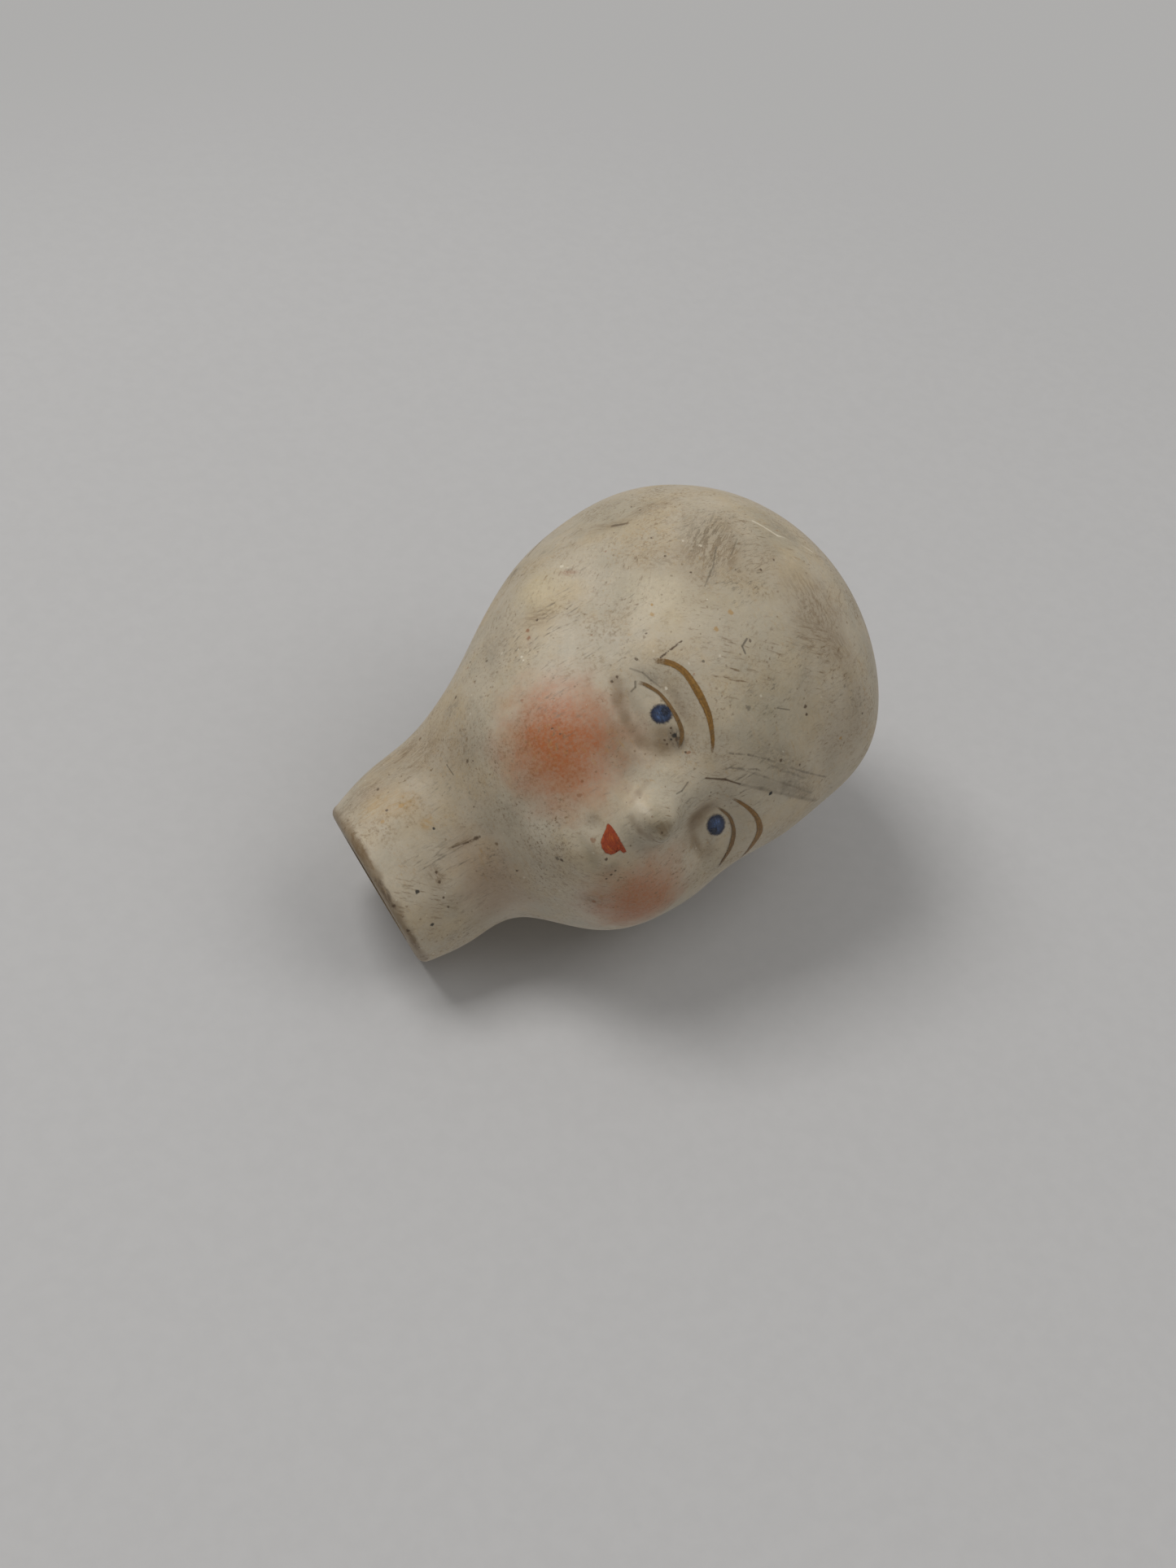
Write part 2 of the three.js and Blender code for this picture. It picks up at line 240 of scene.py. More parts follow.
    def set_dab(self, dab: Dab) -> tuple:
        """Sets a dab on the egg form.

        Args:
            dab: The dab.

        Returns:
            Its centre, its outward, sideways and upward directions, and the dab itself.
        """
        level, angle = np.array(dab.level * MM), np.array(math.radians(dab.angle))
        outward = self.outward(self.egg, level, angle)
        outward[2] = 0
        outward /= np.linalg.norm(outward)
        upward = np.array((0.0, 0.0, 1.0))
        return self.egg(level, angle), outward, np.cross(upward, outward), upward, dab

    def drawn_skin(self, level: np.ndarray, angle: np.ndarray) -> np.ndarray:
        """The skin, drawn from the middle of the neck's end.

        Args:
            level: Heights above the neck's end.
            angle: Angles round the head in radians.

        Returns:
            The points.
        """
        point = self.egg(level, angle)
        moved = point.copy()
        for centre, outward, across, upward, dab in self.set_dabs:
            away = (point - centre) / MM
            distance = (away @ across / dab.half_width) ** 2 + (away @ upward / dab.half_height) ** 2
            distance += (away @ outward / (dab.half_width + dab.half_height)) ** 2
            moved += outward * (dab.rise * MM * np.exp(-distance ** dab.fullness.value))[..., None]
        return moved

    def skin(self, level: np.ndarray, angle: np.ndarray, above: float = 0.0) -> np.ndarray:
        """Points on or over the skin, in the shared frame.

        Args:
            level: Heights above the neck's end.
            angle: Angles round the head in radians.
            above: How far the points lie outside the skin.

        Returns:
            The points.
        """
        point = self.drawn_skin(level, angle) + self.shift
        if above:
            point = point + self.outward(self.drawn_skin, level, angle) * above
        return point

    def inside(self, level: np.ndarray, angle: np.ndarray, wall: float) -> np.ndarray:
        """The wall's inner side, which follows the egg form and is cut off level at the neck's end.

        Args:
            level: Heights above the neck's end.
            angle: Angles round the head in radians.
            wall: The wall's thickness.

        Returns:
            The points.
        """
        inward = -wall * self.outward(self.egg, level, angle)
        share = np.clip(level / self.neck_length, 0, 1)
        inward[..., 2] *= share * share * (3 - 2 * share)
        return self.egg(level, angle) + inward + self.shift

    def place(self, angle: float, level: float) -> Vector:
        """A mark's place on the skin, from its angle in degrees and its level in millimetres."""
        return Vector(self.skin(np.array(level * MM), np.array(math.radians(angle))))


class NodeSheet:
    """Adds and wires the nodes of one material or node group."""

    def __init__(self, tree: bpy.types.NodeTree) -> None:
        """Starts on a cleared tree."""
        self.tree = tree
        tree.nodes.clear()

    def add(self, kind: str, inputs: dict | None = None, **settings: object) -> bpy.types.Node:
        """Adds a node.

        Args:
            kind: The node's type name.
            inputs: Values or sockets for its inputs, by name or number.
            **settings: The node's own settings.

        Returns:
            The node.
        """
        node = self.tree.nodes.new(kind)
        for name, value in settings.items():
            setattr(node, name, value)
        for name, value in (inputs or {}).items():
            if isinstance(value, Socket):
                self.tree.links.new(value, node.inputs[name])
            else:
                node.inputs[name].default_value = value
        return node

    def math(self, operation: str, first: object, second: object = 0.0, clamp: bool = False) -> Socket:
        """One sum on numbers or sockets, held between 0 and 1 where it is clamped."""
        inputs = {0: first, 1: second}
        return self.add("ShaderNodeMath", inputs, operation=operation, use_clamp=clamp).outputs[0]

    def plus(self, first: object, second: object) -> Socket:
        """The sum of two numbers."""
        return self.math("ADD", first, second)

    def minus(self, first: object, second: object) -> Socket:
        """What is left of a number when another is taken from it."""
        return self.math("SUBTRACT", first, second)

    def times(self, first: object, second: object) -> Socket:
        """The product of two numbers."""
        return self.math("MULTIPLY", first, second)

    def fused(self, value: object, factor: object, addend: object) -> Socket:
        """A value times a factor, plus an addend."""
        inputs = {0: value, 1: factor, 2: addend}
        return self.add("ShaderNodeMath", inputs, operation="MULTIPLY_ADD").outputs[0]

    def vector(self, operation: str, first: object, second: object = (0, 0, 0), output: int = 0) -> Socket:
        """One sum on vectors, which puts out a vector as 0 or a number as 1."""
        inputs = {0: first, 1: second}
        return self.add("ShaderNodeVectorMath", inputs, operation=operation).outputs[output]

    def length(self, vector: object) -> Socket:
        """A vector's length."""
        return self.vector("LENGTH", vector, output=1)

    def scaled(self, vector: object, scale: object) -> Socket:
        """A vector times a number."""
        return self.add("ShaderNodeVectorMath", {0: vector, "Scale": scale}, operation="SCALE").outputs[0]

    def step(self, value: object, low: object, high: object, bottom: object = 0.0,
             top: object = 1.0) -> Socket:
        """A smooth step from one value to another.

        Args:
            value: What is stepped.
            low: Where the step starts.
            high: Where it ends.
            bottom: The result before the start.
            top: The result after the end.

        Returns:
            The result's socket.
        """
        node = self.add("ShaderNodeMapRange", {
            "Value": value, "From Min": low, "From Max": high, "To Min": bottom, "To Max": top,
        }, interpolation_type="SMOOTHSTEP", clamp=False)
        return node.outputs["Result"]

    def noise(self, vector: object, size: float, detail: float = 3.0, roughness: float = 0.5) -> Socket:
        """Noise with lumps of a given size, with so many finer layers, so strong."""
        return self.add("ShaderNodeTexNoise", {
            "Vector": vector, "Scale": 1 / size, "Detail": detail, "Roughness": roughness}).outputs["Fac"]

    def mix(self, factor: object, first: object, second: object, blend: str = "MIX") -> Socket:
        """Mixes the second colour into the first by a factor."""
        inputs = {0: factor, 6: first, 7: second}
        return self.add("ShaderNodeMix", inputs, data_type="RGBA", blend_type=blend).outputs[2]

    def shaded(self, colour: object, value: Socket, low: float, high: float, dark: float,
               light: float) -> Socket:
        """Darkens and lightens a colour by a noise.

        Args:
            colour: The colour.
            value: The noise.
            low: The noise at which it is darkest.
            high: The noise at which it is lightest.
            dark: The share of light that is left where it is darkest.
            light: The share where it is lightest.

        Returns:
            The colour's socket.
        """
        shade = self.step(value, low, high, dark, light)
        grey = self.add("ShaderNodeCombineColor", {0: shade, 1: shade, 2: shade}).outputs[0]
        return self.mix(1.0, colour, grey, "MULTIPLY")

    def effect(self, tree: bpy.types.NodeTree, inputs: dict) -> Socket:
        """Places a shared effect with its values and gives its mask."""
        return self.add("ShaderNodeGroup", inputs, node_tree=tree).outputs["Mask"]


def new_material(name: str) -> tuple[bpy.types.Material, NodeSheet]:
    """Starts a material.

    Args:
        name: Its name.

    Returns:
        The material and its sheet.
    """
    material = bpy.data.materials.new(name)
    material.use_nodes = True
    return material, NodeSheet(material.node_tree)


ORIGIN = (0, 0, 0)
UPWARD = (0, 0, 1)


def new_group(name: str, inputs: dict) -> tuple:
    """Starts a shader node group that puts out a mask.

    Args:
        name: The group's name.
        inputs: Each input's name and first value, a number or a vector.

    Returns:
        The group's sheet and its input node's outputs.
    """
    tree = bpy.data.node_groups.new(name, "ShaderNodeTree")
    for label, value in inputs.items():
        kind = "NodeSocketVector" if isinstance(value, tuple) else "NodeSocketFloat"
        tree.interface.new_socket(label, in_out="INPUT", socket_type=kind).default_value = value
    tree.interface.new_socket("Mask", in_out="OUTPUT", socket_type="NodeSocketFloat")
    sheet = NodeSheet(tree)
    return sheet, sheet.add("NodeGroupInput").outputs


def finished_group(sheet: NodeSheet, mask: Socket) -> bpy.types.NodeTree:
    """Ends a node group, which puts out the mask."""
    sheet.add("NodeGroupOutput", {"Mask": mask})
    return sheet.tree


class Effects:
    """Shader node groups that several finishes use: mottle, soft round, smear, drawn line, specks."""

    def __init__(self) -> None:
        """Builds every group once."""
        self.mottle = self.build_mottle()
        self.round = self.build_round()
        self.smear = self.build_smear()
        self.line = self.build_line()
        self.specks = self.build_specks()

    def build_mottle(self) -> bpy.types.NodeTree:
        """Soft cloudy patches: a mask from noise between two levels.

        Returns:
            The group.
        """
        sheet, entry = new_group("cloudy_mottle", {
            "Vector": ORIGIN, "Scale": 100.0, "Low": 0.4, "High": 0.7, "Detail": 4.0, "Roughness": 0.55})
        noise = sheet.add("ShaderNodeTexNoise", {
            name: entry[name] for name in ("Vector", "Scale", "Detail", "Roughness")})
        return finished_group(sheet, sheet.step(noise.outputs["Fac"], entry["Low"], entry["High"]))

    def build_round(self) -> bpy.types.NodeTree:
        """A soft or firm round about one place, with a ragged edge.

        Returns:
            The group.
        """
        sheet, entry = new_group("soft_round", {
            "Vector": ORIGIN, "Centre": ORIGIN, "Size": (MM, MM, MM), "Inner": 0.3, "Outer": 1.2,
            "Ragged": 0.0})
        away = sheet.vector("SUBTRACT", entry["Vector"], entry["Centre"])
        reach = sheet.length(sheet.vector("DIVIDE", away, entry["Size"]))
        ragged = sheet.plus(reach, entry["Ragged"])
        return finished_group(sheet, sheet.step(ragged, entry["Inner"], entry["Outer"], 1.0, 0.0))

    def build_smear(self) -> bpy.types.NodeTree:
        """A patch round one place, broken up by streaks, thinning out to its edge: rubbed-on dirt, and
        also painted shade round the eyes and mouth.

        Returns:
            The group.
        """
        sheet, entry = new_group("dirt_and_shade_smear", {
            "Vector": ORIGIN, "Centre": ORIGIN, "Along": UPWARD, "Length": 4 * MM, "Width": 2 * MM,
            "Cover": 0.5, "Streaks": 0.5})
        away = sheet.vector("SUBTRACT", entry["Vector"], entry["Centre"])
        along = sheet.vector("DOT_PRODUCT", away, entry["Along"], 1)
        beside = sheet.vector("SUBTRACT", away, sheet.scaled(entry["Along"], along))
        length = sheet.math("DIVIDE", along, entry["Length"])
        width = sheet.math("DIVIDE", sheet.length(beside), entry["Width"])
        reach = sheet.plus(sheet.times(length, length), sheet.times(width, width))
        edge = sheet.step(sheet.fused(entry["Streaks"], 2.8, reach), 1.1, 2.5, 1.0, 0.0)
        kept = sheet.plus(sheet.fused(reach, -0.03, entry["Cover"]), entry["Streaks"])
        broken = sheet.step(kept, 1.03, 1.16)
        return finished_group(sheet, sheet.times(edge, sheet.plus(sheet.times(broken, 0.84), 0.16)))

    def build_line(self) -> bpy.types.NodeTree:
        """A thin line from one place along a span, most broken at its edges: a drawn or scratched mark, or
        painted shade along a crease.

        Returns:
            The group.
        """
        sheet, entry = new_group("drawn_line", {
            "Vector": ORIGIN, "Start": ORIGIN, "Span": UPWARD, "Per Square": 1.0, "Width": 0.2 * MM,
            "Breaks": 0.5, "Tooth": 0.5, "Wobble": 0.5})
        away = sheet.vector("SUBTRACT", entry["Vector"], entry["Start"])
        share = sheet.times(sheet.vector("DOT_PRODUCT", away, entry["Span"], 1), entry["Per Square"])
        share = sheet.math("MINIMUM", sheet.math("MAXIMUM", share, 0.0), 1.0)
        nearest = sheet.scaled(entry["Span"], share)
        distance = sheet.length(sheet.vector("SUBTRACT", away, nearest))
        widths = sheet.plus(sheet.math("DIVIDE", distance, entry["Width"]), entry["Wobble"])
        core = sheet.step(widths, 0.65, 1.5, 1.0, 0.0)
        kept = sheet.minus(sheet.fused(widths, -0.05, entry["Tooth"]), sheet.times(entry["Breaks"], 0.4))
        return finished_group(sheet, sheet.times(core, sheet.step(kept, 0.06, 0.18)))

    def build_specks(self) -> bpy.types.NodeTree:
        """Scattered specks: pinholes, iron spots and grit, few or many.

        Returns:
            The group.
        """
        sheet, entry = new_group("scattered_specks", {
            "Vector": ORIGIN, "Scale": 700.0, "Size": 0.2, "Share": 0.1})
        ragged = sheet.add("ShaderNodeTexNoise", {
            "Vector": entry["Vector"], "Scale": sheet.times(entry["Scale"], 2.2), "Detail": 2.0})
        bent = sheet.vector("ADD", entry["Vector"], sheet.scaled(
            ragged.outputs["Color"], sheet.math("DIVIDE", 0.35, entry["Scale"])))
        cells = sheet.add("ShaderNodeTexVoronoi", {"Vector": bent, "Scale": entry["Scale"]})
        chosen = sheet.add("ShaderNodeSeparateColor", {0: cells.outputs["Color"]})
        picked = sheet.math("LESS_THAN", chosen.outputs[0], entry["Share"])
        size = sheet.times(entry["Size"], sheet.plus(0.35, chosen.outputs[1]))
        dot = sheet.step(cells.outputs["Distance"], sheet.times(size, 0.6), size, 1.0, 0.0)
        return finished_group(sheet, sheet.times(dot, picked))


class MarkColour(Enum):
    """The colours of the marks on the bisque: stains and dirt, and also painted shade and a painted
    highlight on the face.
    """

    BROWN = (0.135, 0.084, 0.037, 1)
    UMBER = (0.075, 0.045, 0.022, 1)
    GREY = (0.118, 0.096, 0.064, 1)
    GREEN = (0.21, 0.185, 0.115, 1)
    OCHRE = (0.31, 0.185, 0.055, 1)
    RUST = (0.2, 0.075, 0.025, 1)
    BLACK = (0.012, 0.01, 0.008, 1)
    PALE = (0.55, 0.49, 0.38, 1)
    YELLOW = (0.46, 0.37, 0.2, 1)
    PINK = (0.36, 0.2, 0.12, 1)
    BLUSH = (0.3, 0.09, 0.024, 1)


BROWN, UMBER, GREY, GREEN, OCHRE, RUST, BLACK, PALE, YELLOW, PINK, BLUSH = MarkColour


@dataclass(frozen=True)
class Tint:
    """A soft cloud of colour in the clay, with its half breadth and half height."""

    angle: float
    level: float
    half_breadth: float
    half_height: float
    strength: float
    mark_colour: MarkColour


@dataclass(frozen=True)
class Smear:
    """A patch of rubbed-in dirt, and for some rows round the eyes and mouth painted shade. Its tilt is in
    degrees: 0 runs to the doll's left and 90 up.
    """

    angle: float
    level: float
    length: float
    width: float
    tilt: float
    strength: float
    mark_colour: MarkColour
    cover: float = 0.585


@dataclass(frozen=True)
class Spot:
    """A small spot."""

    angle: float
    level: float
    radius: float
    mark_colour: MarkColour
    strength: float = 0.9


@dataclass(frozen=True)
class Line:
    """A fine line through places given by angle and level, more or less broken."""

    places: tuple
    width: float
    strength: float
    mark_colour: MarkColour
    breaks: float


@dataclass(frozen=True)
class Speckle:
    """One kind of speck, scattered through the clay from its own shift of the pattern."""

    scale: float
    size: float
    share: float
    strength: float
    mark_colour: MarkColour
    shift: float


@dataclass(frozen=True)
class Clouds:
    """Cloudy patches, which fade in between a low and a high noise, from their own shift of it."""

    shift: float
    scale: float
    low: float
    high: float
    strength: float


@dataclass(frozen=True)
class Scuff:
    """Fine dirty scratches along one of the streaks' directions, which come and go in clouds."""

    axis: int
    clouds: Clouds
    mark_colour: MarkColour


BLUSHES = tuple(Tint(*row) for row in (
    (-33.5, 18.5, 7.2, 7, 0.98, BLUSH), (30, 18.2, 6.4, 6, 0.8, BLUSH),
))

TINTS = tuple(Tint(*row) for row in (
    (-80, 18.5, 3.5, 3.2, 0.16, GREY), (-78, 24.5, 4, 2.8, 0.36, YELLOW), (-52, 9, 9, 7, 0.2, BROWN),
    (-48, 32, 5, 3.5, 0.22, YELLOW), (-88, 34, 6, 3.5, 0.2, GREEN), (-62, 44.5, 6, 2.8, 0.25, GREEN),
    (-20, 43.2, 5.5, 3.5, 0.16, BROWN), (20, 41.5, 5, 4.5, 0.16, BROWN), (2, 34.5, 7.5, 5.5, 0.3, GREEN),
    # Painted shade: the brown and umber rounds at (-12.5, 26.3), (-27, 25.6), (-19, 28.7), (-10, 27.2),
    # (12.5, 26.4), (15, 25.6), (22, 25) and (29, 25.6) darken the eye sockets, their inner corners, the
    # lower lids and the lid over the right iris.
    (14, 8.5, 6, 3.5, 0.3, PINK), (-12.5, 26.3, 1.9, 1.9, 0.58, BROWN), (-20, 23.8, 3.6, 2, 0.42, PINK),
    (-27, 25.6, 2.2, 0.7, 0.22, BROWN), (-19, 28.7, 2.6, 0.6, 0.36, BROWN),
    (-10, 27.2, 0.9, 1.3, 0.35, UMBER), (12.5, 26.4, 1.2, 1.7, 0.6, BROWN),
    (15, 25.6, 1.6, 0.9, 0.55, BROWN), (22, 25, 2.2, 0.5, 0.4, BROWN), (29, 25.6, 1.1, 0.8, 0.3, BROWN),
    # Partly dirt and partly painted shade: the grey rounds at the mouth's corners, (-9, 17.8) and (10,
    # 17.3), and the green one under the lower lip, (2, 16.2).
    (-9, 17.8, 0.9, 0.9, 0.32, GREY), (10, 17.3, 1, 1, 0.3, GREY), (1, 22.3, 1.7, 1.4, 0.5, BROWN),
    (-19, 22.9, 3.4, 2.7, 0.26, BROWN), (2, 16.2, 2.6, 0.6, 0.3, GREEN),
    (1, 22.3, 1.9, 1.7, 0.42, GREEN), (0, 19.6, 1.4, 0.6, 0.25, GREEN),
    # Painted highlight: the faint pale round at (-8, 23.2) lightens the nose's lit flank.
    (-14, 13.8, 2.2, 1.4, 0.45, PALE), (-8, 23.2, 1.2, 2.6, 0.12, PALE),
    (-23, 22.6, 3.2, 2.4, 0.42, GREEN), (-30, 38.5, 11, 7, 0.26, GREEN), (-45, 6.5, 6, 4, 0.14, GREEN),
    (150, 30, 9, 9, 0.25, YELLOW), (-150, 20, 7, 6, 0.3, GREEN), (170, 9, 6, 4, 0.3, YELLOW),
))

SMEARS = tuple(Smear(*row) for row in (
    (-84, 32.1, 4.14, 1.05, 54, 0.79, BROWN), (-80, 37.1, 4.14, 1.26, 91, 0.72, BROWN),
    (-54, 38.4, 5.2, 3.6, 129, 0.92, BROWN, 0.59), (-48, 37.6, 2.99, 0.63, 140, 0.72, GREY),
    (-49, 39.7, 2.76, 0.63, 131, 0.72, BROWN), (-25, 43.6, 5.6, 3.8, 13, 0.85, BROWN, 0.57),
    (-14, 41.8, 4.4, 2.4, 27, 0.72, BROWN, 0.56), (-6, 39.5, 2.8, 1.2, -37, 0.44, GREY, 0.56),
    (13, 42.9, 4.5, 1.6, -6, 0.52, GREY, 0.56), (-6, 34.5, 4.14, 1.26, 53, 0.48, GREEN),
    (1, 33.4, 3.6, 1.8, 36, 0.34, GREY, 0.46), (12, 34.2, 6.67, 1.89, 33, 0.65, GREY),
    (25, 35.2, 4.83, 1.89, 33, 0.57, GREY), (-6, 43.6, 2.76, 2.1, 8, 0.65, BROWN),
    (-62, 39.2, 4.2, 3, 120, 0.8, GREY, 0.56), (-46, 41.5, 4.2, 2.6, 110, 0.75, BROWN, 0.56),
    (-58, 34.5, 4.2, 2.4, 60, 0.72, BROWN, 0.55), (-60, 12, 6, 2.4, 95, 0.75, BROWN, 0.55),
    (-78, 9.5, 6, 2.6, 100, 0.75, BROWN, 0.57), (-20, 6, 5, 2.2, 90, 0.62, GREY, 0.54),
    (-84, 2.8, 4.2, 2.2, 88, 0.8, BROWN, 0.58), (-64, 3.6, 4, 2.2, 84, 0.72, OCHRE, 0.57),
    (-98, 6.4, 5, 2.4, 80, 0.8, BROWN, 0.57), (-44, 39.1, 3, 1.8, -2, 0.39, BROWN, 0.46),
    (-61, 45.3, 4.14, 1.68, 26, 0.61, GREY), (-70, 22.9, 2.53, 1.47, 56, 0.72, BROWN),
    (-67, 21.3, 1.5, 0.5, -13, 0.65, RUST, 0.46), (-75, 27.4, 1.27, 0.53, 58, 0.72, RUST),
    (-82, 18.2, 5, 1, -15, 0.45, GREY, 0.56), (-83, 13.2, 2.76, 1.26, 79, 0.65, GREY),
    (-90, 8, 3.68, 1.05, 109, 0.86, BROWN), (-76, 3.8, 2.4, 0.8, 74, 0.59, RUST, 0.46),
    (-54, 5.6, 1.84, 1.68, 97, 0.72, OCHRE), (-36, 6.3, 0.8, 0.84, 36, 0.86, OCHRE),
    (-17, 8, 2.18, 0.63, 83, 0.94, BROWN), (-9, 4.7, 1.49, 1.05, -7, 0.86, BROWN),
    (8, 4.1, 2.4, 1.6, 66, 0.39, BROWN, 0.56), (6, 8.6, 2.8, 1.4, 38, 0.42, GREY, 0.56),
    # The umber smear at (-9, 17.8), at the mouth's right corner, is partly dirt and partly painted shade.
    (24, 14.8, 1.38, 1.05, 58, 0.72, BROWN), (-9, 17.8, 1, 0.6, 34, 0.52, UMBER, 0.56),
    (3, 22.3, 0.9, 0.8, 2, 0.65, BROWN, 0.7), (-2, 22.2, 0.7, 0.6, 15, 0.45, GREEN, 0.62),
    # Painted shade: the umber and brown smears at (-12, 25.9), (12, 26.8), (14, 25.4) and (24, 24.8)
    # darken the lower lids and the inner edges of the eye sockets; the black one at (-12, 27.2) is dirt.
    (-12, 27.2, 1.3, 0.8, -8, 0.95, BLACK, 0.6), (-12, 25.9, 1, 0.4, 41, 0.78, UMBER, 0.56),
    (-30, 27.9, 2.07, 0.63, 24, 0.57, GREY), (-34, 25.2, 1.1, 0.5, 2, 0.72, UMBER, 0.46),
    (12, 26.8, 0.7, 0.4, 80, 0.78, UMBER, 0.56), (14, 25.4, 0.8, 0.4, -45, 0.65, UMBER, 0.56),
    (24, 24.8, 2.07, 0.63, 5, 0.57, BROWN), (-113, 28, 2.3, 0.63, 110, 0.95, UMBER),
    (-104, 24.3, 1.15, 0.63, 113, 0.95, UMBER), (-50, 0.4, 3, 0.6, 0, 0.78, BROWN, 0.86),
    (-19, 0.3, 2.6, 0.5, 0, 0.85, UMBER, 0.76), (22, 0.3, 2, 0.5, 0, 0.85, BROWN, 0.76),
    (120, 36, 5, 2, 30, 0.45, BROWN, 0.56), (160, 24, 6, 1.5, 60, 0.39, GREY, 0.56),
    (-150, 34, 5, 2.5, 110, 0.45, BROWN, 0.56), (-165, 13, 3, 1.2, 80, 0.45, BROWN, 0.66),
    (95, 22, 3, 1.2, 60, 0.45, BROWN, 0.56), (75, 12, 3, 1.2, 20, 0.39, GREY, 0.56),
))

SPOTS = tuple(Spot(*row) for row in (
    (-93.1, 16.6, 0.13, BLACK), (-7.9, 2.75, 0.21, BLACK), (15.7, 2.45, 0.18, BLACK),
    (-31.8, 6.63, 0.13, BLACK), (19.8, 32.22, 0.2, BLACK, 1), (-57.8, 4.04, 0.12, UMBER),
    (-58.5, 34.65, 0.13, UMBER), (-49.4, 35.6, 0.11, UMBER), (-41.4, 40.92, 0.14, UMBER),
    (-8.5, 33.56, 0.28, GREY, 0.7), (2.9, 38.4, 0.18, UMBER), (5.3, 38.17, 0.14, UMBER),
    (21.3, 43.28, 0.13, UMBER), (12, 34.24, 0.16, UMBER), (18.8, 35.82, 0.13, UMBER),
    (-26.6, 32.16, 0.14, GREY), (-94.6, 24.42, 0.12, UMBER), (-69.4, 22.8, 0.13, UMBER),
    (-80.9, 17.59, 0.14, UMBER, 0.7), (-46, 30.71, 0.22, OCHRE, 0.8), (-48.5, 31.19, 0.12, OCHRE),
    (-33.1, 36.52, 0.25, OCHRE, 0.75), (-31.6, 34.58, 0.22, OCHRE, 0.75), (21.9, 40.42, 0.15, OCHRE),
    (-54.1, 5.3, 0.24, OCHRE, 0.8), (-70.1, 21.64, 0.2, RUST, 0.7), (-67.5, 21.38, 0.2, RUST, 0.7),
    (-53.8, 3.25, 0.18, OCHRE, 0.7), (-15.8, 9.24, 0.2, UMBER, 0.8), (-9.6, 10.43, 0.18, BROWN, 0.8),
    (-90.3, 9.74, 0.2, BROWN, 0.8), (-86.4, 13.93, 0.17, UMBER, 0.8), (-0.2, 13.88, 0.22, GREY),
    (0.6, 14.09, 0.16, UMBER), (7.4, 10.8, 0.14, UMBER), (4.9, 17.17, 0.16, UMBER),
    (12.6, 17.03, 0.15, UMBER), (11.5, 17.47, 0.1, UMBER), (13.8, 16.55, 0.11, UMBER),
    (-35.4, 18.97, 0.1, UMBER, 0.7), (-19.9, 18.57, 0.14, RUST, 0.8), (-12.9, 27.18, 0.25, BLACK),
    (-12.2, 26.79, 0.11, BLACK), (-11.5, 27.22, 0.19, UMBER), (-13.3, 27.92, 0.1, BLACK),
    (-11.6, 26.32, 0.1, UMBER), (-7.2, 27.29, 0.1, UMBER), (3.7, 22.02, 0.12, UMBER, 0.8),
    (-1.7, 21.96, 0.1, BROWN, 0.8), (-13.9, 27.01, 0.1, UMBER), (-15.1, 27.23, 0.1, UMBER),
    (-11.5, 27.5, 0.09, BLACK), (-12.9, 26.32, 0.12, UMBER), (-25.5, 28.48, 0.13, PALE),
    (-65.4, 19.99, 0.12, PALE), (-63.9, 19.93, 0.1, PALE), (-78.9, 27.26, 0.18, PALE, 0.8),
    (-35.5, 25.5, 0.14, UMBER), (-35.2, 24.95, 0.12, UMBER), (-11, 4.93, 0.14, UMBER),
    (-5.3, 4.75, 0.16, UMBER), (3.9, 4.4, 0.12, UMBER), (-8.6, 0.4, 0.2, UMBER), (11.5, 0.4, 0.2, UMBER),
    (25.4, 14.96, 0.2, RUST, 0.8),
))

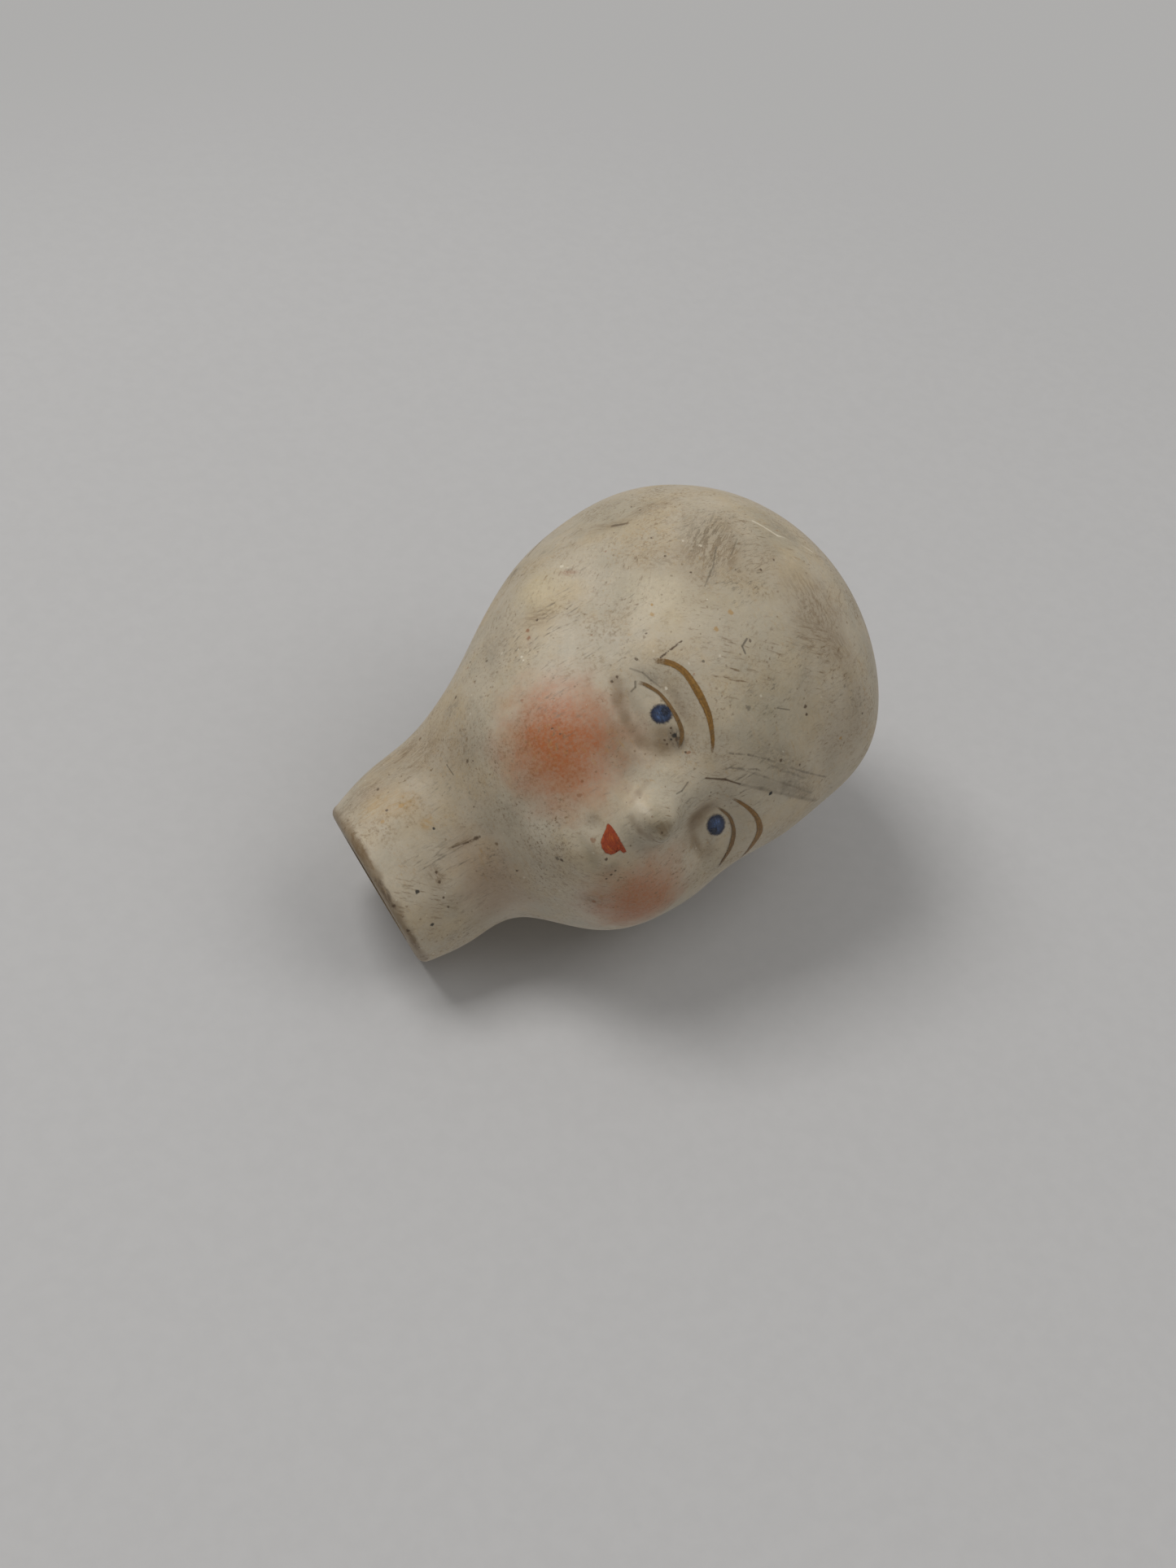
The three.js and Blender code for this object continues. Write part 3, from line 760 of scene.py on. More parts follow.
LINES = tuple(Line(*row) for row in (
    # Painted shade: the first four lines darken the crease under each eye's lower lid, the crease between
    # the nose and the right cheek, and the underside of the nose.
    (((-34.2, 25.27), (-30.2, 24.66), (-24.4, 24.31), (-16, 24.63), (-11.8, 25.63)), 0.9, 0.34, BROWN, 0),
    (((11.8, 26.72), (12.4, 25.77), (14.9, 25.15), (19.4, 24.69), (23.5, 24.57)), 1.3, 0.13, BROWN, 0),
    (((-6.6, 23.18), (-6.3, 22.18), (-5.9, 21.32)), 0.5, 0.26, BROWN, 0),
    (((-2.5, 20.59), (1.4, 20.61), (4.7, 21.08)), 0.6, 0.3, BROWN, 0),
    (((12, 31.3), (22, 33.7), (34, 36)), 1.1, 0.3, GREY, 0.5),
    (((2.1, 27.72), (5.9, 29.12), (9.9, 30.07)), 0.15, 0.9, UMBER, 0.35),
    (((9.9, 30.07), (15.8, 31.62), (23.2, 33.22), (33.8, 35.25), (44.6, 36.83)), 0.26, 0.42, GREY, 0.4),
    (((4.9, 30.52), (12.7, 32.26), (22.9, 34.27), (35.6, 36.3)), 0.18, 0.45, GREY, 0.5),
    (((11.1, 33.23), (22.1, 35.31), (45.6, 38.76)), 0.18, 0.45, GREY, 0.5),
    (((-24.3, 36.5), (-23.4, 35.77), (-21.2, 35.69)), 0.14, 0.94, GREY, 0.2),
    (((-33.9, 29.32), (-34.4, 30.49), (-34.6, 31.5)), 0.14, 0.95, UMBER, 0.7),
    (((-0.7, 30.35), (3, 31.72), (8.7, 33.21)), 0.14, 0.62, GREY, 0.7),
    (((8.7, 33.21), (21.6, 35.77), (33.9, 38.1)), 0.14, 0.62, GREY, 0.6),
    (((3.2, 29.83), (8.7, 31.85), (22.9, 34.65)), 0.14, 0.62, GREY, 0.7),
    (((-63.4, 43.28), (-55.6, 44.34), (-48.5, 46.76)), 0.19, 0.75, PALE, 0.3),
    (((-53.4, 38.82), (-47.6, 37.51), (-43.6, 35.88)), 0.12, 0.6, GREY, 0.6),
    (((-54.7, 40.86), (-49.1, 39.45)), 0.1, 0.55, GREY, 0.6),
    (((-58.2, 10.31), (-51.2, 10.32)), 0.09, 0.88, GREY, 0.3),
    (((-17.5, 7.18), (-15.6, 8.5), (-15.9, 9.54)), 0.16, 0.75, UMBER, 0.6),
    (((-31.4, 26.6), (-30, 26.37), (-29.6, 25.91)), 0.14, 0.75, GREY, 0.3),
    (((-35.4, 26.8), (-32.6, 27.47), (-29.6, 27.74), (-26.5, 28.12)), 0.14, 0.5, GREY, 0.5),
    (((-115.5, 30.1), (-108, 27.9), (-105.1, 26.2)), 0.19, 0.95, UMBER, 0.6),
    (((-105.5, 24.7), (-107.9, 23.8)), 0.19, 0.95, UMBER, 0.6),
    (((-80.8, 33), (-77.8, 34.1)), 0.27, 0.75, UMBER, 0.6),
    (((-2.7, 35.9), (0.5, 36.9)), 0.09, 0.75, GREY, 0.3),
    (((-0.2, 26.2), (0.5, 25.4), (0.1, 24.9)), 0.11, 0.75, GREY, 0.5),
))

SPECKLES = tuple(Speckle(*row) for row in (
    (1700, 0.19, 0.34, 0.5, BROWN, 0.0), (900, 0.13, 0.13, 0.75, UMBER, 0.3),
    (560, 0.13, 0.1, 0.55, RUST, 0.6), (1100, 0.14, 0.1, 0.5, PALE, 0.9),
))

SCUFFS = (
    Scuff(3, Clouds(0.15, 130, 0.44, 0.66, 0.9), BROWN),
    Scuff(0, Clouds(0.45, 160, 0.44, 0.66, 0.8), GREY),
    Scuff(5, Clouds(0.85, 120, 0.44, 0.66, 0.85), BROWN),
    Scuff(1, Clouds(0.55, 170, 0.44, 0.66, 0.55), OCHRE),
)

STREAK_AXES = (
    (0, 0, 1), (1, 0, 0), (0, 1, 0), (1, 0, 1), (1, 0, -1), (0, 1, 1), (0, 1, -1), (1, -1, 0),
)


@dataclass(frozen=True)
class Grain:
    """A noise in the clay, by the size of its lumps, its finer layers and how strong they are."""

    size: float
    detail: float = 3.0
    roughness: float = 0.5

    def over(self, sheet: NodeSheet, place: Socket) -> Socket:
        """The noise over a place."""
        return sheet.noise(place, self.size * MM, self.detail, self.roughness)


TOOTH = Grain(0.28, 5.0, 0.7)
CLOUD = Grain(1.9, 4.0, 0.62)
WOBBLE = Grain(1.2)
STREAK = Grain(0.26, 4.0, 0.72)
MIDDLE = 0.5
DRAWN_OUT = -0.86
SHAKE = 0.04
CLOUD_DETAIL = 5.0
CLOUD_ROUGHNESS = 0.66


@dataclass(frozen=True)
class Edge:
    """How a round mark fades: from an inner to an outer share of its reach, and how raggedly."""

    inner: float
    outer: float
    ragged: float


TINT_EDGE = Edge(0.1, 1.25, 0.9)
BLUSH_EDGE = Edge(0.12, 1.12, 0.8)
SPOT_EDGE = Edge(0.55, 1.25, 2.4)


class BisqueCoats:
    """The bisque's colour, laid on coat by coat over a few shared noises."""

    def __init__(self, sheet: NodeSheet, form: HeadForm, effects: Effects) -> None:
        """Lays out the noises, and a place shaken a hair by the streaks.

        Args:
            sheet: The material's sheet.
            form: The head's form.
            effects: The shared effects.
        """
        self.sheet, self.form, self.effects = sheet, form, effects
        self.here = sheet.add("ShaderNodeTexCoord").outputs["Object"]
        self.tooth = TOOTH.over(sheet, self.here)
        self.cloud = sheet.minus(CLOUD.over(sheet, self.here), MIDDLE)
        self.wobble = WOBBLE.over(sheet, self.here)
        self.streaks = [self.drawn_out(Vector(axis).normalized()) for axis in STREAK_AXES]
        shake = sheet.minus(self.streaks[-1][1], MIDDLE)
        self.unsteady = sheet.vector("ADD", self.here, sheet.scaled((SHAKE * MM,) * 3, shake))
        self.colour: Socket | None = None

    def drawn_out(self, axis: Vector) -> tuple[Vector, Socket]:
        """Fine streaks drawn out along a direction.

        Args:
            axis: The direction.

        Returns:
            The direction and its streaks.
        """
        along = self.sheet.vector("DOT_PRODUCT", self.here, tuple(axis), 1)
        along = self.sheet.times(along, DRAWN_OUT)
        drawn = self.sheet.vector("ADD", self.here, self.sheet.scaled(tuple(axis), along))
        return axis, STREAK.over(self.sheet, drawn)

    def clouds(self, clouds: Clouds) -> Socket:
        """The mask of some cloudy patches, before they are given their strength.

        Args:
            clouds: The patches.

        Returns:
            The mask.
        """
        return self.sheet.effect(self.effects.mottle, {
            "Vector": self.sheet.vector("ADD", self.here, (clouds.shift,) * 3), "Scale": clouds.scale,
            "Low": clouds.low, "High": clouds.high, "Detail": CLOUD_DETAIL,
            "Roughness": CLOUD_ROUGHNESS})

    def round(self, mark: Tint | Spot, half_breadth: float, half_height: float, edge: Edge,
              ragged: Socket) -> Socket:
        """The mask of a round mark.

        Args:
            mark: The mark.
            half_breadth: Its reach sideways.
            half_height: Its reach up and down.
            edge: How it fades.
            ragged: What makes its edge ragged.

        Returns:
            The mask.
        """
        return self.sheet.effect(self.effects.round, {
            "Vector": self.unsteady, "Centre": tuple(self.form.place(mark.angle, mark.level)),
            "Size": (half_breadth * MM, half_breadth * MM, half_height * MM), "Inner": edge.inner,
            "Outer": edge.outer, "Ragged": ragged})

    def lay(self, mask: Socket, strength: float, mark_colour: MarkColour) -> None:
        """Lays a mark's colour over the colour, where its mask is and as strong as it is."""
        self.colour = self.sheet.mix(self.sheet.times(mask, strength), self.colour, mark_colour.value)

    def tint(self) -> None:
        """Tints the clay in places, among them painted shade round the eyes and mouth and a painted
        highlight on the nose, and airbrushes the cheeks over its tooth.
        """
        ragged = self.sheet.times(self.cloud, TINT_EDGE.ragged)
        for tint in TINTS:
            mask = self.round(tint, tint.half_breadth, tint.half_height, TINT_EDGE, ragged)
            self.lay(mask, tint.strength, tint.mark_colour)
        grains = self.sheet.step(self.tooth, 0.3, 0.72, 0.74, 1.12)
        for cheek in BLUSHES:
            calmer = self.sheet.times(ragged, BLUSH_EDGE.ragged)
            mask = self.round(cheek, cheek.half_breadth, cheek.half_height, BLUSH_EDGE, calmer)
            self.lay(self.sheet.times(mask, grains), cheek.strength, cheek.mark_colour)

    def smear(self) -> None:
        """Rubs in the patches of dirt and of painted shade, each along the streaks that run most nearly
        its way.
        """
        for smear in SMEARS:
            turn, tilt = math.radians(smear.angle), math.radians(smear.tilt)
            across = Vector((math.cos(turn), math.sin(turn), 0))
            along = across * math.cos(tilt) + Vector(UPWARD) * math.sin(tilt)
            mask = self.sheet.effect(self.effects.smear, {
                "Vector": self.unsteady, "Centre": tuple(self.form.place(smear.angle, smear.level)),
                "Along": tuple(along), "Length": smear.length * MM, "Width": smear.width * MM,
                "Cover": smear.cover,
                "Streaks": max(self.streaks, key=lambda drawn: abs(drawn[0].dot(along)))[1]})
            self.lay(mask, smear.strength, smear.mark_colour)

    def mark(self) -> None:
        """Draws the fine lines, piece by piece, the first ones painted shade in the creases round the eyes
        and nose, and sets the single spots.
        """
        for line in LINES:
            places = [self.form.place(*place) for place in line.places]
            for start, end in zip(places, places[1:]):
                span = end - start
                mask = self.sheet.effect(self.effects.line, {
                    "Vector": self.unsteady, "Start": tuple(start), "Span": tuple(span),
                    "Per Square": 1 / span.length_squared, "Width": line.width * MM,
                    "Breaks": line.breaks, "Tooth": self.tooth, "Wobble": self.wobble})
                self.lay(mask, line.strength, line.mark_colour)
        ragged = self.sheet.times(self.sheet.minus(self.tooth, MIDDLE), SPOT_EDGE.ragged)
        for spot in SPOTS:
            mask = self.round(spot, spot.radius, spot.radius, SPOT_EDGE, ragged)
            self.lay(mask, spot.strength, spot.mark_colour)


@dataclass(frozen=True)
class BisqueFinish:
    """Unglazed porcelain gone yellow and dirty with age, with two airbrushed cheeks, painted shade round
    the eyes, nose and mouth, and a faint painted highlight on the nose.
    """

    form: HeadForm
    effects: Effects
    clay: tuple = (0.405, 0.347, 0.257, 1)
    cool_clay: tuple = (0.34, 0.3, 0.224, 1)
    warm_clay: tuple = (0.405, 0.325, 0.21, 1)
    warm: Clouds = Clouds(0.0, 190.0, 0.42, 0.66, 0.8)
    cool: Clouds = Clouds(0.3, 150.0, 0.45, 0.7, 0.75)
    dust: Clouds = Clouds(0.7, 210.0, 0.44, 0.68, 0.62)
    rim_low: float = 0.2 * MM
    rim_high: float = 1.1 * MM
    rim_unevenness: float = 1.8 * MM
    rim_strength: float = 0.62
    roughness: float = 0.5
    dusty_roughness: float = 0.6
    gloss: float = 0.35
    glow: float = 0.12
    glow_depth: float = 1 * MM
    glow_radii: tuple = (1.0, 0.8, 0.55)
    bump_strength: float = 0.4
    bump_distance: float = 0.1 * MM
    wobble_height: float = 1.4
    tooth_height: float = 0.35
    speck_depth: float = 0.3

    def material(self) -> bpy.types.Material:
        """The bisque's material, whose masks are made before the coats that use them.

        Returns:
            The material.
        """
        material, sheet = new_material("aged_bisque")
        coats = BisqueCoats(sheet, self.form, self.effects)
        warm = sheet.times(coats.clouds(self.warm), self.warm.strength)
        cool = sheet.times(coats.clouds(self.cool), self.cool.strength)
        grains = sheet.step(coats.tooth, 0.42, 0.7)
        dust = sheet.times(sheet.times(coats.clouds(self.dust), grains), self.dust.strength)
        worn = [coats.clouds(scuff.clouds) for scuff in SCUFFS]
        specks = [sheet.effect(self.effects.specks, {
            "Vector": sheet.vector("ADD", coats.here, (kind.shift,) * 3), "Scale": kind.scale,
            "Size": kind.size, "Share": kind.share}) for kind in SPECKLES]
        coats.colour = sheet.mix(cool, sheet.mix(warm, self.clay, self.warm_clay), self.cool_clay)
        coats.tint()
        coats.colour = sheet.shaded(coats.colour, coats.tooth, 0.25, 0.75, 0.91, 1.05)
        coats.colour = sheet.mix(dust, coats.colour, BROWN.value)
        for scuff, mask in zip(SCUFFS, worn):
            scratches = sheet.step(coats.streaks[scuff.axis][1], 0.53, 0.7)
            coats.lay(sheet.times(mask, scratches), scuff.clouds.strength, scuff.mark_colour)
        level = sheet.add("ShaderNodeSeparateXYZ", {0: coats.unsteady}).outputs[2]
        level = sheet.fused(coats.cloud, self.rim_unevenness, level)
        rim = sheet.step(level, self.rim_low, self.rim_high, self.rim_strength, 0.0)
        coats.colour = sheet.mix(rim, coats.colour, BROWN.value)
        coats.smear()
        coats.mark()
        for kind, mask in zip(SPECKLES, specks):
            coats.lay(mask, kind.strength, kind.mark_colour)
        height = sheet.plus(sheet.times(coats.wobble, self.wobble_height),
                            sheet.times(coats.tooth, self.tooth_height))
        height = sheet.minus(height, sheet.times(specks[1], self.speck_depth))
        bump = sheet.add("ShaderNodeBump", {
            "Height": height, "Strength": self.bump_strength, "Distance": self.bump_distance})
        dusty = sheet.times(dust, self.dusty_roughness)
        rough = sheet.math("ADD", self.roughness, dusty, clamp=True)
        shader = sheet.add("ShaderNodeBsdfPrincipled", {
            "Base Color": coats.colour, "Roughness": rough, "Normal": bump.outputs[0],
            "Subsurface Weight": self.glow, "Subsurface Scale": self.glow_depth,
            "Subsurface Radius": self.glow_radii, "Specular IOR Level": self.gloss})
        sheet.add("ShaderNodeOutputMaterial", {"Surface": shader.outputs[0]})
        return material


@dataclass(frozen=True)
class EnamelFinish:
    """A thin fired brush stroke: two tones, streaks along it and soft broken edges."""

    name: str
    slot: str
    colour: tuple
    dark: tuple
    pale: tuple
    roughness: float = 0.42
    streak: float = 0.6
    softness: float = 0.14
    thinnest: float = 0.72
    round_edge: bool = False
    rim: float = 0.0
    lift: float = 0.03 * MM
    gloss: float = 0.45
    bump_strength: float = 0.3
    bump_distance: float = 0.04 * MM
    blunt_end: float = 0.012
    tooth: Grain = Grain(0.18, 4.0, 0.7)
    patches: Grain = Grain(0.6, 3.0, 0.6)
    bumps: Grain = Grain(0.25, 4.0, 0.6)
    # the stroke's own map is a metre a side, so that its streaks are long beside those of the clay
    streaks: Grain = Grain(625, 4.0, 0.6)
    streak_scale: tuple = (2.5, 7.0, 1.0)

    def reach(self, sheet: NodeSheet, drawn: Socket) -> Socket:
        """How far a place lies from the stroke's middle.

        Args:
            sheet: The material's sheet.
            drawn: The place on the stroke's own map.

        Returns:
            The reach, 0 in the middle and a half at the edge.
        """
        place = sheet.add("ShaderNodeSeparateXYZ", {0: drawn})
        off_end, off_middle = (
            sheet.math("ABSOLUTE", sheet.minus(place.outputs[axis], MIDDLE)) for axis in (0, 1))
        if self.round_edge:
            end, middle = sheet.math("POWER", off_end, 2.0), sheet.math("POWER", off_middle, 2.0)
            both = sheet.times(end, middle)
            return sheet.math("SQRT", sheet.fused(both, -4.0, sheet.plus(end, middle)))
        return sheet.math("MAXIMUM", off_middle, sheet.minus(off_end, self.blunt_end))

    def material(self) -> bpy.types.Material:
        """The enamel's material, which reads the stroke's own UV map.

        Returns:
            The material.
        """
        material, sheet = new_material(self.name)
        coordinates = sheet.add("ShaderNodeTexCoord").outputs
        here = coordinates["Object"]
        reach = self.reach(sheet, coordinates["UV"])
        drawn = sheet.add("ShaderNodeMapping", {
            "Vector": coordinates["UV"], "Scale": self.streak_scale})
        streaks = self.streaks.over(sheet, drawn.outputs[0])
        tooth = self.tooth.over(sheet, here)
        ragged = sheet.plus(reach, sheet.times(sheet.minus(tooth, MIDDLE), self.softness * 1.6))
        cover = sheet.step(ragged, MIDDLE - self.softness, MIDDLE, 1.0, 0.0)
        deep, light = sheet.step(streaks, 0.42, 0.66), sheet.step(streaks, 0.5, 0.3)
        colour = sheet.mix(sheet.times(deep, self.streak), self.colour, self.dark)
        colour = sheet.mix(sheet.times(light, self.streak), colour, self.pale)
        patchy = self.patches.over(sheet, here)
        ring = sheet.times(sheet.step(ragged, 0.14, 0.36), sheet.step(patchy, 0.32, 0.5, 0.2, 1.0))
        colour = sheet.mix(sheet.times(ring, self.rim), colour, self.dark)
        colour = sheet.shaded(colour, tooth, 0.3, 0.7, 0.8, 1.12)
        worn = sheet.plus(patchy, sheet.times(tooth, 0.4))
        alpha = sheet.times(cover, sheet.step(worn, 0.5, 0.75, self.thinnest, 1.0))
        bump = sheet.add("ShaderNodeBump", {
            "Height": self.bumps.over(sheet, here), "Strength": self.bump_strength,
            "Distance": self.bump_distance})
        rough = sheet.step(tooth, 0.3, 0.7, self.roughness - 0.08, self.roughness + 0.12)
        shader = sheet.add("ShaderNodeBsdfPrincipled", {
            "Base Color": colour, "Roughness": rough, "Alpha": alpha, "Normal": bump.outputs[0],
            "Specular IOR Level": self.gloss})
        sheet.add("ShaderNodeOutputMaterial", {"Surface": shader.outputs[0]})
        return material


def start_primitive() -> None:
    """Deselects everything, so that the next operators act on the new primitive alone."""
    if bpy.context.object and bpy.context.object.mode != "OBJECT":
        bpy.ops.object.mode_set(mode="OBJECT")
    bpy.ops.object.select_all(action="DESELECT")


def edit_with(choice: str, kind: str = "VERT") -> None:
    """Goes into edit mode.

    Args:
        choice: SELECT or DESELECT, for all that the mesh has.
        kind: VERT or EDGE, what is then selected.
    """
    bpy.ops.object.mode_set(mode="EDIT")
    bpy.ops.mesh.select_all(action=choice)
    bpy.ops.mesh.select_mode(type=kind)


def coordinates_of(piece: bpy.types.Object) -> np.ndarray:
    """Reads a piece's vertices.

    Args:
        piece: The piece.

    Returns:
        The points, one a row.
    """
    flat = np.empty(len(piece.data.vertices) * 3)
    piece.data.vertices.foreach_get("co", flat)
    return flat.reshape(-1, 3)


def move_vertices(piece: bpy.types.Object, points: np.ndarray) -> None:
    """Puts the piece's vertices at the points."""
    piece.data.vertices.foreach_set("co", np.asarray(points, float).ravel())
    piece.data.update()


def settle(piece: bpy.types.Object, name: str, material: bpy.types.Material, node: str) -> None:
    """Names a finished piece, dresses it and ties it to the frame.

    Args:
        piece: The piece.
        name: Its name.
        material: Its material.
        node: The CAD node that it stands for.
    """
    piece.name = piece.data.name = name
    piece.data.materials.clear()
    piece.data.materials.append(material)
    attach(piece, "root")
    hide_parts(node)
    LOG.info("%s: %d faces", name, len(piece.data.polygons))


@dataclass
class Casting:
    """The hollow casting: head and neck in one, open at the neck's cut end."""

    form: HeadForm
    finish: BisqueFinish
    segments: int = 300
    rings: int = 250
    inner_segments: int = 100
    inner_rings: int = 60
    wall: float = 0.0025
    rim_bevel: float = 0.0008
    rim_turns: int = 4
    front_density: float = 0.5
    sharpest_smooth: float = 50

    def shell(self, segments: int, rings: int) -> bpy.types.Object:
        """A ball with its bottom taken off, ready to be moved onto a surface.

        Args:
            segments: How many columns it has.
            rings: How many rings it has.

        Returns:
            The object, still a ball.
        """
        start_primitive()
        bpy.ops.mesh.primitive_uv_sphere_add(segments=segments, ring_count=rings, radius=1.0)
        ball = bpy.context.object
        edit_with("DESELECT")
        mesh = bmesh.from_edit_mesh(ball.data)
        lowest = -math.cos(0.5 * math.pi / rings)
        for vertex in mesh.verts:
            vertex.select = vertex.co.z < lowest
        mesh.select_flush_mode()
        bmesh.update_edit_mesh(ball.data)
        bpy.ops.mesh.delete(type="VERT")
        bpy.ops.object.mode_set(mode="OBJECT")
        return ball

    def levels_and_angles(self, ball: bpy.types.Object, rings: int,
                          bottom: float) -> tuple[np.ndarray, np.ndarray]:
        """Reads each vertex's ring and column as a level and an angle, closer together in front.

        Args:
            ball: The open ball.
            rings: How many rings it was made with.
            bottom: The level of its lowest ring.

        Returns:
            Levels and angles.
        """
        points = coordinates_of(ball)
        down = np.arccos(np.clip(points[:, 2], -1, 1)) / (math.pi * (1 - 1 / rings))
        level = bottom + (self.form.head_height - bottom) * np.cos(np.clip(down, 0, 1) * math.pi / 2)
        even = np.arctan2(points[:, 0], -points[:, 1])
        return level, even - self.front_density * np.sin(even)

    def turn_rim(self, outer: bpy.types.Object) -> None:
        """Turns the open edge of the neck under, over a small worn bevel.

        Args:
            outer: The casting's outer skin.
        """
        bpy.context.view_layer.objects.active = outer
        sweeps = [math.radians(90 * turn / self.rim_turns) for turn in range(self.rim_turns + 1)]
        for last, sweep in zip(sweeps, sweeps[1:]):
            edit_with("DESELECT", "EDGE")
            bpy.ops.mesh.select_non_manifold()
            bpy.ops.mesh.extrude_edges_move(TRANSFORM_OT_translate={"value": (0, 0, 0)})
            bpy.ops.mesh.select_mode(type="VERT")
            mesh = bmesh.from_edit_mesh(outer.data)
            drawn = self.rim_bevel * (math.cos(last) - math.cos(sweep))
            for vertex in [vertex for vertex in mesh.verts if vertex.select]:
                flat = Vector((vertex.co.x, vertex.co.y, 0)) - Vector(self.form.shift)
                vertex.co -= flat.normalized() * drawn
                vertex.co.z = self.rim_bevel * (1 - math.sin(sweep))
            bmesh.update_edit_mesh(outer.data)
            bpy.ops.object.mode_set(mode="OBJECT")

    def build(self) -> None:
        """Models the outer and the inner skin, bridges them at the neck and dresses the casting."""
        outer = self.shell(self.segments, self.rings)
        level, angle = self.levels_and_angles(outer, self.rings, self.rim_bevel)
        move_vertices(outer, self.form.skin(level, angle))
        self.turn_rim(outer)
        inner = self.shell(self.inner_segments, self.inner_rings)
        level, angle = self.levels_and_angles(inner, self.inner_rings, 0)
        move_vertices(inner, self.form.inside(level, angle, self.wall))
        edit_with("SELECT")
        bpy.ops.mesh.flip_normals()
        bpy.ops.object.mode_set(mode="OBJECT")
        bpy.ops.object.select_all(action="DESELECT")
        inner.select_set(True)
        outer.select_set(True)
        bpy.context.view_layer.objects.active = outer
        bpy.ops.object.join()
        edit_with("DESELECT", "EDGE")
        bpy.ops.mesh.select_non_manifold()
        bpy.ops.mesh.bridge_edge_loops()
        bpy.ops.mesh.select_mode(type="VERT")
        bpy.ops.object.mode_set(mode="OBJECT")
        bpy.ops.object.shade_smooth_by_angle(angle=math.radians(self.sharpest_smooth))
        settle(outer, "BisqueCasting", self.finish.material(), "bisque_head")


@dataclass
class EnamelPatch:
    """A thin patch of enamel that lies on the skin, modelled from a grid."""

    form: HeadForm
    node: str
    finish: EnamelFinish
    outline: Outline
    columns: tuple = (60, 10)
    round_columns: tuple = (24, 24)
    thickness: float = 0.06 * MM

    def build(self) -> None:
        """Models the patch and dresses it."""
        start_primitive()
        along, across = self.round_columns if self.finish.round_edge else self.columns
        bpy.ops.mesh.primitive_grid_add(x_subdivisions=along, y_subdivisions=across, size=2.0)
        patch = bpy.context.object
        points = coordinates_of(patch)
        spread, level = self.outline(points[:, 0], points[:, 1])
        angle = self.form.angle_of(spread, level)
        move_vertices(patch, self.form.skin(level, angle, self.finish.lift))
        solid = patch.modifiers.new("Thickness", "SOLIDIFY")
        solid.thickness = self.thickness
        solid.offset = -1.0
        bpy.ops.object.modifier_apply(modifier=solid.name)
        bpy.ops.object.shade_smooth()
        name = "".join(word.title() for word in self.node.split("_"))
        settle(patch, name, self.finish.material(), self.node)


def stroke(places: tuple) -> Outline:
    """A brush stroke's outline on the face.

    Args:
        places: Along the stroke, its spread to the doll's left, level and breadth.

    Returns:
        A function from the grid's two directions, -1 to 1, to spreads and levels.
    """
    table = np.array(places) * MM
    travelled = np.concatenate([[0], np.cumsum(np.hypot(*np.diff(table[:, :2], axis=0).T))])
    splines = [spline_through(travelled, column) for column in table.T]

    def outline(along: np.ndarray, across: np.ndarray) -> tuple:
        """The stroke's places.

        Args:
            along: The grid's first direction.
            across: Its second.

        Returns:
            Spreads and levels.
        """
        where = (along + 1) / 2 * travelled[-1]
        step = travelled[-1] * 1e-3
        spread, level, breadth = (spline(where) for spline in splines)
        sideways, upward = (spline(where + step) - spline(where - step) for spline in splines[:2])
        offset = across * np.maximum(breadth, 0) / 2 / np.hypot(sideways, upward)
        return spread - upward * offset, level + sideways * offset

    return outline


def spot(spread: float, level: float, half_width: float, half_height: float) -> Outline:
    """A round spot's outline on the face.

    Args:
        spread: How far its middle lies to the doll's left.
        level: Its middle's height.
        half_width: Its reach sideways.
        half_height: Its reach up and down.

    Returns:
        A function from the grid's two directions, -1 to 1, to spreads and levels.
    """
    def outline(along: np.ndarray, across: np.ndarray) -> tuple:
        """The spot's places, drawn in to a round.

        Args:
            along: The grid's first direction.
            across: Its second.

        Returns:
            Spreads and levels.
        """
        round_x = along * np.sqrt(1 - across ** 2 / 2)
        round_y = across * np.sqrt(1 - along ** 2 / 2)
        return (spread + round_x * half_width) * MM, (level + round_y * half_height) * MM

    return outline


def mouth(upper: tuple, lower: tuple) -> Outline:
    """The mouth's outline between an upper and a lower edge.

    Args:
        upper: Shares of the mouth's length, spreads and levels along the upper edge.
        lower: The same along the lower edge.

    Returns:
        A function from the grid's two directions, -1 to 1, to spreads and levels.
    """
    def outline(along: np.ndarray, across: np.ndarray) -> tuple:
        """The mouth's places.

        Args:
            along: The grid's first direction.
            across: Its second.

        Returns:
            Spreads and levels.
        """
        low, high = (
            np.array([np.interp((along + 1) / 2, shares, row * MM) for row in rows])
            for shares, *rows in (np.array(lower).T, np.array(upper).T))
        return tuple(low + (high - low) * (across + 1) / 2)

    return outline


